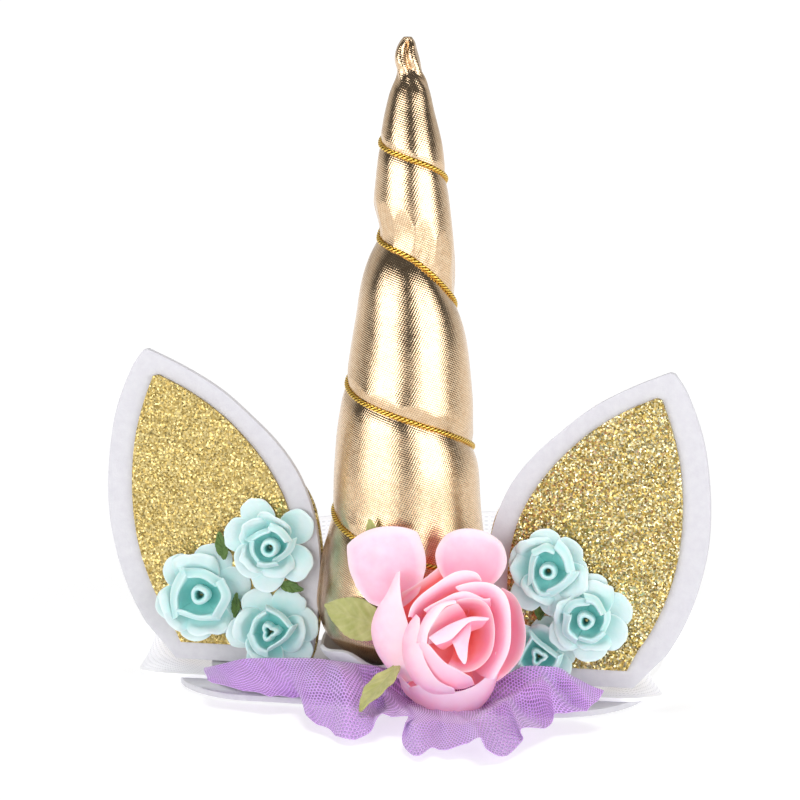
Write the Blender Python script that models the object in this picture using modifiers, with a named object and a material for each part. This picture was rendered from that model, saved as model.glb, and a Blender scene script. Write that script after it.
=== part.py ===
"""A unicorn horn headband: a stuffed gold horn and two felt ears on an oval felt base, trimmed with a
tulle ruffle and cloth roses, on a closed loop of soft elastic band that stands behind it on its edge.

Sizes are in millimetres, and become metres where a mesh or a curve is made. The origin is on the underside
of the base, under the horn's axis, with +Z up and the front towards -Y."""

import math

import bmesh
import bpy
from mathutils import Matrix, Vector

MM = 0.001
GAP = 0.35
TURN = 2 * math.pi

# The felt base: two ovals with the band held between them
BASE_LENGTH = 101
BASE_SHIFT = 1
BASE_UPPER_LENGTH = 82
BASE_UPPER_SHIFT = -1.5
BASE_WIDTH = 41
FELT = 1.2
BAND_THICKNESS = 1.0
BAND_WIDTH = 20
BAND_SHIFT = -0.6
BASE_TOP = 2 * FELT + BAND_THICKNESS + 2 * GAP

# The stuffed horn, from its tip to the round end that is sewn into the collar
HORN_SEGMENTS = 24
HORN_RINGS = 40
PINCH_DEPTH = 0.8
PINCH_WIDTH = 3.4
HORN_PROFILE = (
    # height, radius, lean
    (6.4, 9.0, 0.0),
    (8.4, 13.0, 0.0),
    (10.8, 16.0, 0.0),
    (16.0, 17.9, 0.0),
    (24.3, 17.4, -0.2),
    (33.7, 16.2, 0.0),
    (48.0, 15.1, 0.0),
    (60.0, 14.2, 0.1),
    (74.7, 12.3, 0.5),
    (86.4, 10.4, 0.7),
    (98.0, 8.6, 1.1),
    (109.5, 7.3, 1.0),
    (117.1, 6.3, 0.9),
    (124.0, 5.0, 0.8),
    (128.6, 3.7, 0.8),
    (131.3, 2.8, 0.8),
    (133.6, 2.7, 0.5),
    (136.2, 2.3, 0.2),
    (138.9, 1.2, 0.2),
)

# The braided cord, from behind the horn's neck down to behind its foot
CORD_RADIUS = 0.45
CORD_START_ANGLE = math.radians(103)
CORD_POINTS_A_TURN = 14
CORD_HEIGHTS = (
    # quarter turns from the start, height
    (0, 120.6),
    (1, 117.1),
    (2, 114.2),
    (3, 109.5),
    (4, 103.4),
    (5, 97.3),
    (6, 93.6),
    (7, 83.2),
    (8, 74.0),
    (9, 66.3),
    (10, 60.2),
    (11, 52.4),
    (12, 45.4),
    (13, 38.6),
    (14, 31.1),
    (15, 23.4),
    (16, 17.8),
)

# The felt cup under the horn, with its wavy edge
COLLAR_WALL = 1.3
COLLAR_HEIGHTS = (7.2, 8.4, 9.6, 10.8)
COLLAR_WAVES = 5
COLLAR_WAVE = 0.5

# The ears: one die-cut shape, with its outer side at -X, mirrored for the right. Its foot is cut level:
# how far up the cut is, and where its outer and inner corners are
EAR_FELT = 1.6
EAR_SHEET = 0.8
EAR_BACKING = 0.6
EAR_FOOT = (0, -9.4, 16.6)
EAR_OUTLINE = (
    # height, outer side, inner side
    (4.6, -12.2, 21.4),
    (10.0, -14.4, 24.2),
    (16.0, -16.2, 26.2),
    (23.0, -17.3, 27.3),
    (30.0, -17.5, 27.4),
    (37.0, -16.9, 26.2),
    (44.0, -15.3, 23.3),
    (51.0, -12.9, 18.9),
    (58.0, -9.7, 13.7),
    (63.6, -6.0, 7.9),
    (67.6, -2.6, 3.0),
    (69.4, -0.4, 0.6),
)
GLITTER_FOOT = (5.1, -8.2, 14.6)
GLITTER_OUTLINE = (
    (10.6, -9.2, 19.2),
    (16.0, -10.6, 21.2),
    (22.0, -11.6, 22.4),
    (30.0, -11.9, 22.6),
    (38.0, -10.9, 20.8),
    (46.0, -8.8, 17.2),
    (53.0, -6.0, 12.7),
    (59.6, -2.2, 6.6),
    (63.6, 0.6, 1.8),
)
EARS = {
    # side: mirror, lean outwards, place of the foot's middle
    "left": (1, math.radians(14.0), (-39.4, -4.0, BASE_TOP + GAP)),
    "right": (-1, math.radians(15.2), (40.2, -8.0, BASE_TOP + GAP)),
}

# The elastic band, from the middle of the base round to the middle of the back and one row past it
BAND_STEPS = 36
BAND_PATH = (
    # x on the right and on the left, y, height of the middle, twist from lying to standing in degrees
    (0.0, 0.0, 0.0, FELT + GAP + BAND_THICKNESS / 2, 0),
    (24.0, 24.0, 0.0, FELT + GAP + BAND_THICKNESS / 2, 0),
    (43.2, 44.0, 0.0, FELT + GAP + BAND_THICKNESS / 2, 0),
    (48.0, 51.4, 1.4, 3.7, 11),
    (49.6, 57.2, 7.4, 9.5, 59),
    (50.0, 59.2, 18.0, 11.0, 82),
    (49.4, 58.8, 36.0, 10.5, 90),
    (46.8, 54.2, 54.0, 10.5, 90),
    (39.6, 43.2, 71.0, 10.5, 90),
    (23.4, 24.6, 84.0, 10.5, 90),
    (0.0, 0.0, 90.0, 10.5, 90),
    (-23.4, -24.6, 84.0, 10.5, 90),
)

# The tulle ruffle: a gathered header on the base's front edge, and a hem with deep folds
TULLE = 1.0
RUFFLE_COLUMNS = 60
RUFFLE_ROWS = 5
RUFFLE_GATHERS = 20
RUFFLE_INSET = 1.4
RUFFLE_FOLDS = (
    # x of the header, the heights of its crest and of its slope, and the hem's x, y and height
    (-37, 7.0, 7.8, -39, -25, 5.0),
    (-30, 9.0, 9.8, -29, -29, 5.0),
    (-23, 9.4, 9.8, -20, -33, 5.0),
    (-18, 9.6, 9.4, -14, -35, 3.8),
    (-13, 9.6, 8.4, -8, -41, 1.2),
    (-8, 9.2, 6.4, -1, -48, 0.9),
    (-2, 8.4, 4.0, 4, -41, 2.6),
    (4, 6.2, 1.4, 11, -51, 0.9),
    (10, 5.6, 0.8, 17, -58, 0.9),
    (16, 5.6, 0.8, 22, -53, 2.0),
    (21, 5.6, 0.8, 27, -51, 1.4),
    (26, 6.2, 1.2, 33, -54, 0.9),
    (31, 8.6, 5.0, 35, -43, 2.4),
    (36, 10.0, 8.4, 38, -34, 1.2),
    (41, 10.0, 9.4, 44, -30, 4.0),
    (45, 8.6, 9.0, 47, -24, 6.0),
)

# A rose's rings, from its heart over the petals' rim to its stem
ROSE_RINGS = (
    # radius, height, depth of the notches between petals
    (0.00, 0.62, 0.0),
    (0.12, 0.66, 0.0),
    (0.25, 1.00, 0.1),
    (0.40, 0.80, 0.3),
    (0.56, 0.66, 0.5),
    (0.80, 0.78, 0.8),
    (1.00, 0.92, 1.0),
    (0.95, 0.78, 1.0),
    (0.56, 0.36, 0.5),
    (0.28, 0.08, 0.2),
    (0.00, 0.00, 0.0),
)
NOTCH = 0.16
TEAL_ROSES = (
    # name, side, x and height on the ear, radius, depth, petals, turn
    ("rose_left_top", "left", -28.4, 31.0, 9.1, 7.4, 5, 0.2),
    ("rose_left_outer", "left", -43.6, 19.2, 9.4, 7.4, 5, 0.8),
    ("rose_left_low", "left", -28.0, 12.4, 8.6, 7.4, 5, 1.4),
    ("rose_right_top", "right", 32.9, 29.6, 7.6, 7.0, 5, 0.5),
    ("rose_right_outer", "right", 41.6, 19.2, 8.8, 14.0, 5, 1.1),
    ("rose_right_low", "right", 31.0, 11.2, 7.0, 6.4, 5, 0.0),
)
TEAL_FACING = (0.14, -1.0, 0.12)

# The big pink rose: three nested cups and two wide petals behind them
PINK_FACING = (0.14, -0.97, 0.08)
PINK_STEM = (14.1, -12.1, 17.2)
PINK_RADIUS = 15.3
PINK_DEPTH = 25.0
PINK_OUTER_RINGS = (
    (0.00, 0.56, 0.0),
    (0.30, 0.56, 0.0),
    (0.52, 0.62, 0.2),
    (0.72, 0.78, 0.6),
    (0.92, 0.98, 1.0),
    (1.00, 0.96, 1.0),
    (1.00, 0.82, 1.0),
    (0.84, 0.62, 0.7),
    (0.52, 0.42, 0.4),
    (0.22, 0.20, 0.1),
    (0.12, 0.06, 0.0),
    (0.00, 0.00, 0.0),
)
PINK_INNER_RINGS = (
    (0.00, 0.66, 0.0),
    (0.22, 0.66, 0.0),
    (0.36, 0.84, 0.4),
    (0.52, 1.00, 1.0),
    (0.60, 0.98, 1.0),
    (0.56, 0.84, 0.7),
    (0.42, 0.68, 0.3),
    (0.24, 0.60, 0.0),
    (0.00, 0.58, 0.0),
)
PINK_BUD_RINGS = (
    (0.00, 0.86, 0.0),
    (0.08, 0.88, 0.0),
    (0.16, 1.00, 0.5),
    (0.24, 0.98, 0.5),
    (0.22, 0.84, 0.2),
    (0.12, 0.70, 0.0),
    (0.00, 0.68, 0.0),
)
PETAL_WALL = 1.0
BACK_PETALS = (
    # name, base, tip, width, how far its middle bulges outwards, and the way it faces
    ("pink_petal_left", (2.6, -20.4, 21.4), (-1.4, -19.6, 38.6), 16.4, 0.9, (-0.03, -1.0, 0.06)),
    ("pink_petal_right", (17.0, -18.9, 24.7), (19.2, -19.2, 39.0), 15.2, 1.0, (0.20, -1.0, 0.10)),
)

# Cloth leaves: pointed, folded along the midrib
LEAF_WALL = 0.9
SPRIG_WALL = 0.7
LEAF_FOLD = 0.5
PINK_LEAVES = (
    # name, base, tip, width, bulge, and the way it faces
    ("leaf_left", (2.2, -20.0, 17.0), (-14.4, -13.6, 20.0), 8.6, 1.7, (-0.36, -1.0, 0.1)),
    ("leaf_up", (-1.0, -18.5, 27.0), (-3.8, -17.6, 39.8), 5.0, 0.0, (-0.15, -1.0, 0.0)),
    ("leaf_low", (4.4, -25.6, 11.2), (0.0, -42.0, 5.0), 5.6, 0.6, (-0.3, -0.5, 1.0)),
)
SPRIG_LEAVES = (
    # name, side, base x and height, tip x and height, width
    ("sprig_left_inner", "left", (-26.4, 22.6), (-20.8, 21.6), 3.2),
    ("sprig_left_outer", "left", (-38.2, 27.4), (-39.4, 33.4), 3.6),
    ("sprig_left_mid", "left", (-36.0, 14.8), (-35.6, 20.2), 3.2),
    ("sprig_right", "right", (31.2, 18.6), (31.4, 23.4), 3.0),
)

COLOURS = {
    # base colour, roughness, metallic
    "gold_foil": ((0.62, 0.42, 0.20), 0.32, 0.9),
    "gold_cord": ((0.72, 0.42, 0.04), 0.40, 0.6),
    "gold_glitter": ((0.60, 0.47, 0.18), 0.45, 0.6),
    "white_felt": ((0.82, 0.81, 0.84), 0.95, 0.0),
    "white_elastic": ((0.80, 0.80, 0.83), 0.85, 0.0),
    "lilac_tulle": ((0.52, 0.32, 0.76), 0.80, 0.0),
    "teal_paper": ((0.30, 0.75, 0.70), 0.75, 0.0),
    "pink_silk": ((0.92, 0.42, 0.47), 0.60, 0.0),
    "olive_leaf": ((0.42, 0.42, 0.16), 0.75, 0.0),
}


def start_scene():
    """Clears the scene and returns the collection that the headband goes in."""
    for old in list(bpy.data.objects):
        bpy.data.objects.remove(old, do_unlink=True)
    parts = bpy.data.collections.new("unicorn_horn_headband")
    bpy.context.scene.collection.children.link(parts)
    return parts


def principled(name):
    """A plain material with the colour, roughness and metal of its finish."""
    colour, roughness, metallic = COLOURS[name]
    material = bpy.data.materials.get(name) or bpy.data.materials.new(name)
    material.use_nodes = True
    shader = material.node_tree.nodes["Principled BSDF"]
    shader.inputs["Base Color"].default_value = (*colour, 1)
    shader.inputs["Roughness"].default_value = roughness
    shader.inputs["Metallic"].default_value = metallic
    return material


def mesh_object(parts, name, shape, finish, wall=None):
    """Makes an object of a bmesh in millimetres, with a wall of this thickness if it is a sheet."""
    bmesh.ops.scale(shape, vec=(MM, MM, MM), verts=shape.verts)
    mesh = bpy.data.meshes.new(name)
    shape.to_mesh(mesh)
    shape.free()
    mesh.shade_smooth()
    mesh.materials.append(principled(finish))
    piece = bpy.data.objects.new(name, mesh)
    parts.objects.link(piece)
    if wall:
        solid = piece.modifiers.new("Wall", "SOLIDIFY")
        solid.thickness = wall * MM
        solid.offset = 0
        solid.use_even_offset = False
    return piece


def shaped_ball(segments, rings, place):
    """A ball whose points go to place(ring, angle), ring 0 at the top pole and rings at the bottom one."""
    shape = bmesh.new()
    bmesh.ops.create_uvsphere(shape, u_segments=segments, v_segments=rings, radius=1)
    for vert in shape.verts:
        ring = round(math.acos(max(-1, min(1, vert.co.z))) / math.pi * rings)
        vert.co = place(ring, math.atan2(vert.co.y, vert.co.x))
    return shape


def shaped_sheet(columns, rows, place):
    """A grid whose points go to place(across, along), both from 0 to 1."""
    shape = bmesh.new()
    bmesh.ops.create_grid(shape, x_segments=columns, y_segments=rows, size=1)
    for vert in shape.verts:
        vert.co = place((vert.co.x + 1) / 2, (vert.co.y + 1) / 2)
    return shape


def read_rows(rows, key):
    """The columns after the first, read smoothly between the rows at this value of the first."""
    last = len(rows) - 1
    at = next((i for i in range(last) if key <= rows[i + 1][0]), last - 1)
    before, start, end, after = (rows[max(0, min(last, at + step))] for step in (-1, 0, 1, 2))
    span = end[0] - start[0]
    t = max(0, min(1, (key - start[0]) / span))
    values = []
    for column in range(1, len(start)):
        slope_in = span * (end[column] - before[column]) / (end[0] - before[0])
        slope_out = span * (after[column] - start[column]) / (after[0] - start[0])
        rise = end[column] - start[column]
        bend = t * (1 - t) * ((1 - t) * (slope_in - rise) - t * (slope_out - rise))
        values.append(start[column] + t * rise + bend)
    return values


def numbered(rows):
    """The rows with their number put before them, so that read_rows reads them by it."""
    return [(i, *row) for i, row in enumerate(rows)]


def frame_facing(place, facing):
    """The matrix of a frame at this place whose +Z looks the way that facing points."""
    turn = Vector(facing).to_track_quat("Z", "Y")
    return Matrix.Translation(place) @ turn.to_matrix().to_4x4()


def cord_height(quarter_turns):
    return read_rows(CORD_HEIGHTS, quarter_turns)[0]


def pinch(height, angle):
    """How much the cord pulls the horn in at this height and angle, as a share of its full pinch."""
    quarter = ((angle - CORD_START_ANGLE) % TURN) / (TURN / 4)
    pulled = 0.0
    while quarter <= CORD_HEIGHTS[-1][0]:
        away = (height - cord_height(quarter)) / PINCH_WIDTH
        pulled = max(pulled, math.exp(-away * away))
        quarter += 4
    return pulled


def horn_point(height, angle, out=0.0):
    """The point of the horn's surface at this height and angle, moved out by so much."""
    radius, lean = read_rows(HORN_PROFILE, height)
    depth = PINCH_DEPTH * min(1, radius / 8)
    radius += out - depth * pinch(height, angle)
    return Vector((lean + radius * math.cos(angle), radius * math.sin(angle), height))


def add_horn(parts):
    """Gold foil cloth over a firm filling: a full solid, closed at its tip and at its round lower end."""
    foot, top = HORN_PROFILE[0][0], HORN_PROFILE[-1][0]

    def place(ring, angle):
        height = top - (top - foot) * min(1, max(0, ring - 1) / (HORN_RINGS - 2))
        if ring in (0, HORN_RINGS):
            return Vector((read_rows(HORN_PROFILE, height)[1], 0, height))
        return horn_point(height, angle)

    mesh_object(parts, "horn", shaped_ball(HORN_SEGMENTS, HORN_RINGS, place), "gold_foil")


def add_cord(parts):
    """A thin braided cord that lies in the spiral that it pinches into the horn."""
    turns = CORD_HEIGHTS[-1][0] / 4
    steps = round(turns * CORD_POINTS_A_TURN)
    curve = bpy.data.curves.new("horn_cord", "CURVE")
    curve.dimensions = "3D"
    curve.bevel_depth = CORD_RADIUS * MM
    curve.bevel_resolution = 2
    curve.use_fill_caps = True
    line = curve.splines.new("POLY")
    line.points.add(steps)
    for i, point in enumerate(line.points):
        quarter = i / steps * CORD_HEIGHTS[-1][0]
        angle = CORD_START_ANGLE + quarter * TURN / 4
        place = horn_point(cord_height(quarter), angle, out=CORD_RADIUS + 2.3 * GAP)
        point.co = (*(place * MM), 1)
    curve.materials.append(principled("gold_cord"))
    parts.objects.link(bpy.data.objects.new("horn_cord", curve))


def add_collar(parts):
    """The felt cup that the horn's round end is sewn into. Its edge waves up and down."""
    under = BASE_TOP + GAP
    floor = under + COLLAR_WALL
    inside = [(h, read_rows(HORN_PROFILE, h)[0] + 2.2 * GAP) for h in COLLAR_HEIGHTS]
    outside = [(h, radius + COLLAR_WALL) for h, radius in reversed(inside)]
    rings = [(floor, 0), (floor, 8.0), *inside, *outside, (under + 0.8, 12.2), (under, 10.8), (under, 0)]

    def place(ring, angle):
        height, radius = rings[ring]
        share = (height / COLLAR_HEIGHTS[-1]) ** 4
        wave = COLLAR_WAVE * share * math.sin(COLLAR_WAVES * angle + 0.6)
        return Vector((radius * math.cos(angle), radius * math.sin(angle), height + wave))

    mesh_object(parts, "horn_collar", shaped_ball(30, len(rings) - 1, place), "white_felt")


def base_edge(x):
    """How far the base's straight-sided oval reaches from its middle line at this x."""
    end = BASE_WIDTH / 2
    past = max(0, abs(x - BASE_SHIFT) - (BASE_LENGTH / 2 - end))
    return math.sqrt(max(0, end * end - past * past))


def flat_piece(parts, name, outline, thickness, finish, matrix):
    """A flat piece cut to this outline, its middle on the matrix's XY plane."""
    curve = bpy.data.curves.new(name, "CURVE")
    curve.dimensions = "2D"
    curve.fill_mode = "BOTH"
    curve.extrude = thickness / 2 * MM
    line = curve.splines.new("POLY")
    line.points.add(len(outline) - 1)
    for point, (x, y) in zip(line.points, outline):
        point.co = (x * MM, y * MM, 0, 1)
    line.use_cyclic_u = True
    curve.materials.append(principled(finish))
    piece = bpy.data.objects.new(name, curve)
    parts.objects.link(piece)
    where = matrix.copy()
    where.translation *= MM
    piece.matrix_world = where


def add_base(parts):
    """Two felt ovals, one above and one below the band that is glued between them."""
    end = BASE_WIDTH / 2
    arc = [math.radians(-90 + 15 * i) for i in range(13)]
    for name, length, shift, middle in (
        ("base_felt_lower", BASE_LENGTH, BASE_SHIFT, FELT / 2),
        ("base_felt_upper", BASE_UPPER_LENGTH, BASE_UPPER_SHIFT, BASE_TOP - FELT / 2),
    ):
        straight = length / 2 - end
        right = [(shift + straight + end * math.cos(a), end * math.sin(a)) for a in arc]
        left = [(shift - straight - end * math.cos(a), -end * math.sin(a)) for a in arc]
        flat_piece(parts, name, right + left, FELT, "white_felt", Matrix.Translation((0, 0, middle)))


def add_band(parts):
    """The elastic loop: flat between the felts, then twisted up to stand on its edge round the back."""
    half = numbered(BAND_PATH)
    last = len(BAND_PATH) - 2

    def middle(step):
        share = step / BAND_STEPS * last
        right, left, y, height, twist = read_rows(half, min(share, 2 * last - share))
        x = right if share <= last else -left
        return Vector((x + BAND_SHIFT, y, height)), math.radians(twist)

    shape = bmesh.new()
    bmesh.ops.create_cone(
        shape, cap_ends=False, segments=2 * BAND_STEPS, radius1=1, radius2=1, depth=2
    )
    bmesh.ops.subdivide_edges(
        shape, edges=[e for e in shape.edges if abs(e.verts[0].co.z - e.verts[1].co.z) > 1], cuts=1
    )
    for vert in shape.verts:
        step = round((math.atan2(vert.co.y, vert.co.x) % TURN) / TURN * 2 * BAND_STEPS)
        here, twist = middle(step)
        ahead = middle(step + 0.5)[0] - middle(step - 0.5 if step else 2 * BAND_STEPS - 0.5)[0]
        inward = Vector((-ahead.y, ahead.x, 0)).normalized()
        across = inward * math.cos(twist) + Vector((0, 0, math.sin(twist)))
        vert.co = here + across * (vert.co.z * BAND_WIDTH / 2)
    bmesh.ops.recalc_face_normals(shape, faces=shape.faces)
    mesh_object(parts, "band", shape, "white_elastic", wall=BAND_THICKNESS)


def closed_outline(foot, rows, lean):
    """An ear's outline: up its inner side, down its outer one, and along the foot that is level at this lean."""
    up = [(inner, height) for height, _, inner in rows]
    down = [(outer, height) for height, outer, _ in reversed(rows)]
    rise, outer_corner, inner_corner = foot
    slope = math.tan(lean)
    start = (inner_corner, rise - slope * inner_corner)
    end = (outer_corner, rise - slope * outer_corner)
    return [start, *up, *down, end]


def ear_matrix(side, forward):
    """The frame of a layer of this ear: its XY plane stands up and leans outwards."""
    mirror, lean, (x, y, z) = EARS[side]
    leaning = Matrix.Rotation(-mirror * lean, 4, "Y")
    upright = Matrix.Rotation(math.radians(90), 4, "X")
    return Matrix.Translation((x, y - forward, z)) @ leaning @ upright


def add_ears(parts):
    """Each ear is white felt with a glitter sheet on its front and a thin one on its back."""
    sheet_forward = EAR_FELT / 2 + GAP + EAR_SHEET / 2
    backing_forward = -(EAR_FELT / 2 + GAP + EAR_BACKING / 2)
    layers = (
        ("felt", EAR_FOOT, EAR_OUTLINE, EAR_FELT, 0, "white_felt"),
        ("glitter", GLITTER_FOOT, GLITTER_OUTLINE, EAR_SHEET, sheet_forward, "gold_glitter"),
        ("backing", EAR_FOOT, EAR_OUTLINE, EAR_BACKING, backing_forward, "gold_glitter"),
    )
    for side, (mirror, lean, _) in EARS.items():
        for layer, foot, rows, thickness, forward, finish in layers:
            outline = [(mirror * x, y) for x, y in closed_outline(foot, rows, lean)]
            flat_piece(parts, f"ear_{layer}_{side}", outline, thickness, finish, ear_matrix(side, forward))


def add_ruffle(parts):
    """Lilac tulle: its header is gathered on the base's front edge, and its hem falls in deep folds."""
    folds = numbered(RUFFLE_FOLDS)
    last = len(RUFFLE_FOLDS) - 1

    def place(along, out):
        x, crest, slope, hem_x, hem_y, hem_z = read_rows(folds, along * last)
        root = Vector((x, RUFFLE_INSET - base_edge(x), BASE_TOP + GAP + TULLE / 2))
        hem = Vector((hem_x, hem_y, hem_z))
        rise = root + Vector((0, -1.0, 1.5 * (crest - root.z)))
        spread = root.lerp(hem, 0.45)
        spread.z = slope
        point = (1 - out) ** 3 * root + 3 * out * (1 - out) ** 2 * rise
        point += 3 * out**2 * (1 - out) * spread + out**3 * hem
        gather = math.sin(RUFFLE_GATHERS * TURN * along) * out * (1 - out)
        return point + Vector((0, -0.5, 1.4)) * gather

    shape = shaped_sheet(RUFFLE_COLUMNS, RUFFLE_ROWS, place)
    mesh_object(parts, "tulle_ruffle", shape, "lilac_tulle", wall=TULLE)


def rose_solid(rings, segments, radius, depth, petals, turn, matrix):
    """A rose as one closed form: its rings run from its heart over the petals' rim to its stem."""

    def place(ring, angle):
        share, height, notched = rings[ring]
        between = 1 - abs(math.cos(petals * (angle + turn) / 2))
        inward = 1 - NOTCH * notched * between**2
        reach = share * inward * radius
        rise = height * depth * (1 - NOTCH * notched * between**2 * 0.5)
        return matrix @ Vector((reach * math.cos(angle), reach * math.sin(angle), rise))

    return shaped_ball(segments, len(rings) - 1, place)


def ear_front(side):
    """The Y of the glitter sheet's front."""
    return EARS[side][2][1] - EAR_FELT / 2 - GAP - EAR_SHEET


def add_teal_roses(parts):
    """Three small paper roses are glued to the inner lower corner of each ear."""
    for name, side, x, height, radius, depth, petals, turn in TEAL_ROSES:
        matrix = frame_facing((x, ear_front(side) - GAP, height), TEAL_FACING)
        shape = rose_solid(ROSE_RINGS, 20, radius, depth, petals, turn, matrix)
        mesh_object(parts, name, shape, "teal_paper")


def add_pink_rose(parts):
    """A big silk rose: nested cups of petals round a bud, and two wide petals behind them."""
    matrix = frame_facing(PINK_STEM, PINK_FACING)
    for name, rings, segments, petals, turn in (
        ("pink_rose_outer", PINK_OUTER_RINGS, 30, 5, 0.3),
        ("pink_rose_inner", PINK_INNER_RINGS, 24, 4, 0.9),
        ("pink_rose_bud", PINK_BUD_RINGS, 16, 3, 0.0),
    ):
        shape = rose_solid(rings, segments, PINK_RADIUS, PINK_DEPTH, petals, turn, matrix)
        mesh_object(parts, name, shape, "pink_silk")
    for name, base, tip, width, bulge, facing in BACK_PETALS:
        shape = shaped_sheet(8, 8, round_petal(Vector(base), Vector(tip), width, bulge, Vector(facing)))
        mesh_object(parts, name, shape, "pink_silk", wall=PETAL_WALL)


def round_petal(base, tip, width, bulge, facing):
    """The place function of a round petal: the grid goes to a disc, narrower towards its base."""
    along = tip - base
    across = along.cross(facing).normalized()
    outward = across.cross(along).normalized()

    def place(u, v):
        s, t = 2 * u - 1, 2 * v - 1
        x = s * math.sqrt(1 - t * t / 2)
        y = t * math.sqrt(1 - s * s / 2)
        share = (y + 1) / 2
        reach = x * width / 2 * (0.5 + 0.5 * math.sin(math.pi / 2 * min(1, 1.5 * share)))
        crown = bulge * (1 - x * x - y * y)
        return base + along * share + across * reach + outward * crown

    return place


def leaf_place(base, tip, width, bulge, facing):
    """The place function of a pointed leaf, folded along its midrib."""
    along = tip - base
    across = along.cross(facing).normalized()
    outward = across.cross(along).normalized()

    def place(u, v):
        half = width / 2 * (0.12 + 0.88 * math.sin(math.pi * v**0.9)) if v < 1 else width * 0.06
        folded = LEAF_FOLD * math.sin(math.pi * v) * (1 - abs(2 * u - 1))
        crown = bulge * 4 * v * (1 - v) - folded
        return base + along * v + across * ((2 * u - 1) * half) + outward * crown

    return place


def add_leaves(parts):
    """Olive cloth leaves by the pink rose, and small sprigs between the teal roses."""
    for name, base, tip, width, bulge, facing in PINK_LEAVES:
        place = leaf_place(Vector(base), Vector(tip), width, bulge, Vector(facing))
        mesh_object(parts, name, shaped_sheet(4, 8, place), "olive_leaf", wall=LEAF_WALL)
    for name, side, base, tip, width in SPRIG_LEAVES:
        y = ear_front(side) - GAP - SPRIG_WALL / 2 - LEAF_FOLD
        ends = [Vector((x, y, height)) for x, height in (base, tip)]
        place = leaf_place(*ends, width, 0, Vector((0, -1, 0)))
        mesh_object(parts, name, shaped_sheet(2, 6, place), "olive_leaf", wall=SPRIG_WALL)


def build():
    parts = start_scene()
    add_base(parts)
    add_band(parts)
    add_collar(parts)
    add_horn(parts)
    add_cord(parts)
    add_ears(parts)
    add_ruffle(parts)
    add_teal_roses(parts)
    add_pink_rose(parts)
    add_leaves(parts)


build()
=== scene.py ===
"""A unicorn horn headband, dressed piece by piece over its plain model, with its floor, lights and camera.

Lengths in the sections are in millimetres, in the model's own frame: the origin under the horn, the front
towards -Y and +Z up. settle turns each finished piece into metres."""

import math

import bpy
import numpy as np
from mathutils import Matrix, Vector


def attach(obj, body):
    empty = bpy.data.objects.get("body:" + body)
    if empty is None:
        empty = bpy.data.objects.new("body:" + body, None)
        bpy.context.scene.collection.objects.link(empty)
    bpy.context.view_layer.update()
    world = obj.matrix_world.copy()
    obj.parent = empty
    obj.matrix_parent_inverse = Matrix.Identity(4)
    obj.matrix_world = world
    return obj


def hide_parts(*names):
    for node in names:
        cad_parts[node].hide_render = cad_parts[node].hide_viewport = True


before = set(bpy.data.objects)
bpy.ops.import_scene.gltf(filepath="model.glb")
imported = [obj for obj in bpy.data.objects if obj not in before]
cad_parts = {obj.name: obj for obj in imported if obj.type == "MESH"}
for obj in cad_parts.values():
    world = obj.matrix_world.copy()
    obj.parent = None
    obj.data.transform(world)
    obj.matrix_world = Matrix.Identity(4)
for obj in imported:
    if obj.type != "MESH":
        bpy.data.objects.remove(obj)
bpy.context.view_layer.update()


# Floor, lights and camera. A white sweep in a photo studio: two wide softboxes stand on either side of the
# camera and a weak one hangs overhead. The backdrop is white and the room behind the camera is dark.

def deselect():
    """Leaves object mode with nothing selected."""
    if bpy.context.object and bpy.context.object.mode != "OBJECT":
        bpy.ops.object.mode_set(mode="OBJECT")
    bpy.ops.object.select_all(action="DESELECT")


def node(tree, kind, sockets=None, **settings):
    """Adds a shader node, sets it up, and links or sets its sockets, which are given by name or number."""
    new = tree.nodes.new("ShaderNode" + kind)
    for name, value in settings.items():
        setattr(new, name, value)
    for name, value in (sockets or {}).items():
        if isinstance(value, bpy.types.NodeSocket):
            tree.links.new(value, new.inputs[name])
        else:
            new.inputs[name].default_value = value
    return new


def maths(tree, operation, a, b=0.0, c=0.0):
    return node(tree, "Math", {0: a, 1: b, 2: c}, operation=operation).outputs[0]


def blend_colours(tree, factor, a, b, blend_type="MIX"):
    mix = node(tree, "Mix", {0: factor, 6: a, 7: b}, data_type="RGBA", blend_type=blend_type)
    return mix.outputs[2]


def ramp(tree, factor, stops):
    """A colour ramp with these (position, colour) stops."""
    new = node(tree, "ValToRGB", {0: factor})
    elements = new.color_ramp.elements
    while len(elements) < len(stops):
        elements.new(0.5)
    for element, (position, colour) in zip(elements, stops):
        element.position = position
        element.color = (*colour, 1) if len(colour) == 3 else colour
    return new.outputs[0]


def object_place(tree):
    return node(tree, "TexCoord").outputs["Object"]


def finish_of(name, **values):
    """A new material and its tree and shader, with the shader's own values set."""
    material = bpy.data.materials.new(name)
    material.use_nodes = True
    tree = material.node_tree
    shader = tree.nodes["Principled BSDF"]
    for socket, value in values.items():
        shader.inputs[socket.replace("_", " ")].default_value = value
    return material, tree, shader


def feed(tree, shader, **sources):
    """Links these sources to the shader's sockets of the same names."""
    for socket, source in sources.items():
        tree.links.new(source, shader.inputs[socket.replace("_", " ")])


CAMERA_AZIMUTH = math.radians(13)
CAMERA_PITCH = math.radians(9.769)
CAMERA_PLACE = (0.17996, -0.7795, 0.2)

deselect()
bpy.ops.object.camera_add(location=CAMERA_PLACE, rotation=(math.pi / 2 - CAMERA_PITCH, 0, CAMERA_AZIMUTH))
camera = bpy.context.object
camera.data.lens = 172.4
camera.data.sensor_width = 36
camera.data.shift_x = -0.0075
camera.data.clip_end = 20
bpy.context.scene.camera = camera
bpy.context.scene.view_settings.view_transform = "Standard"

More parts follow.
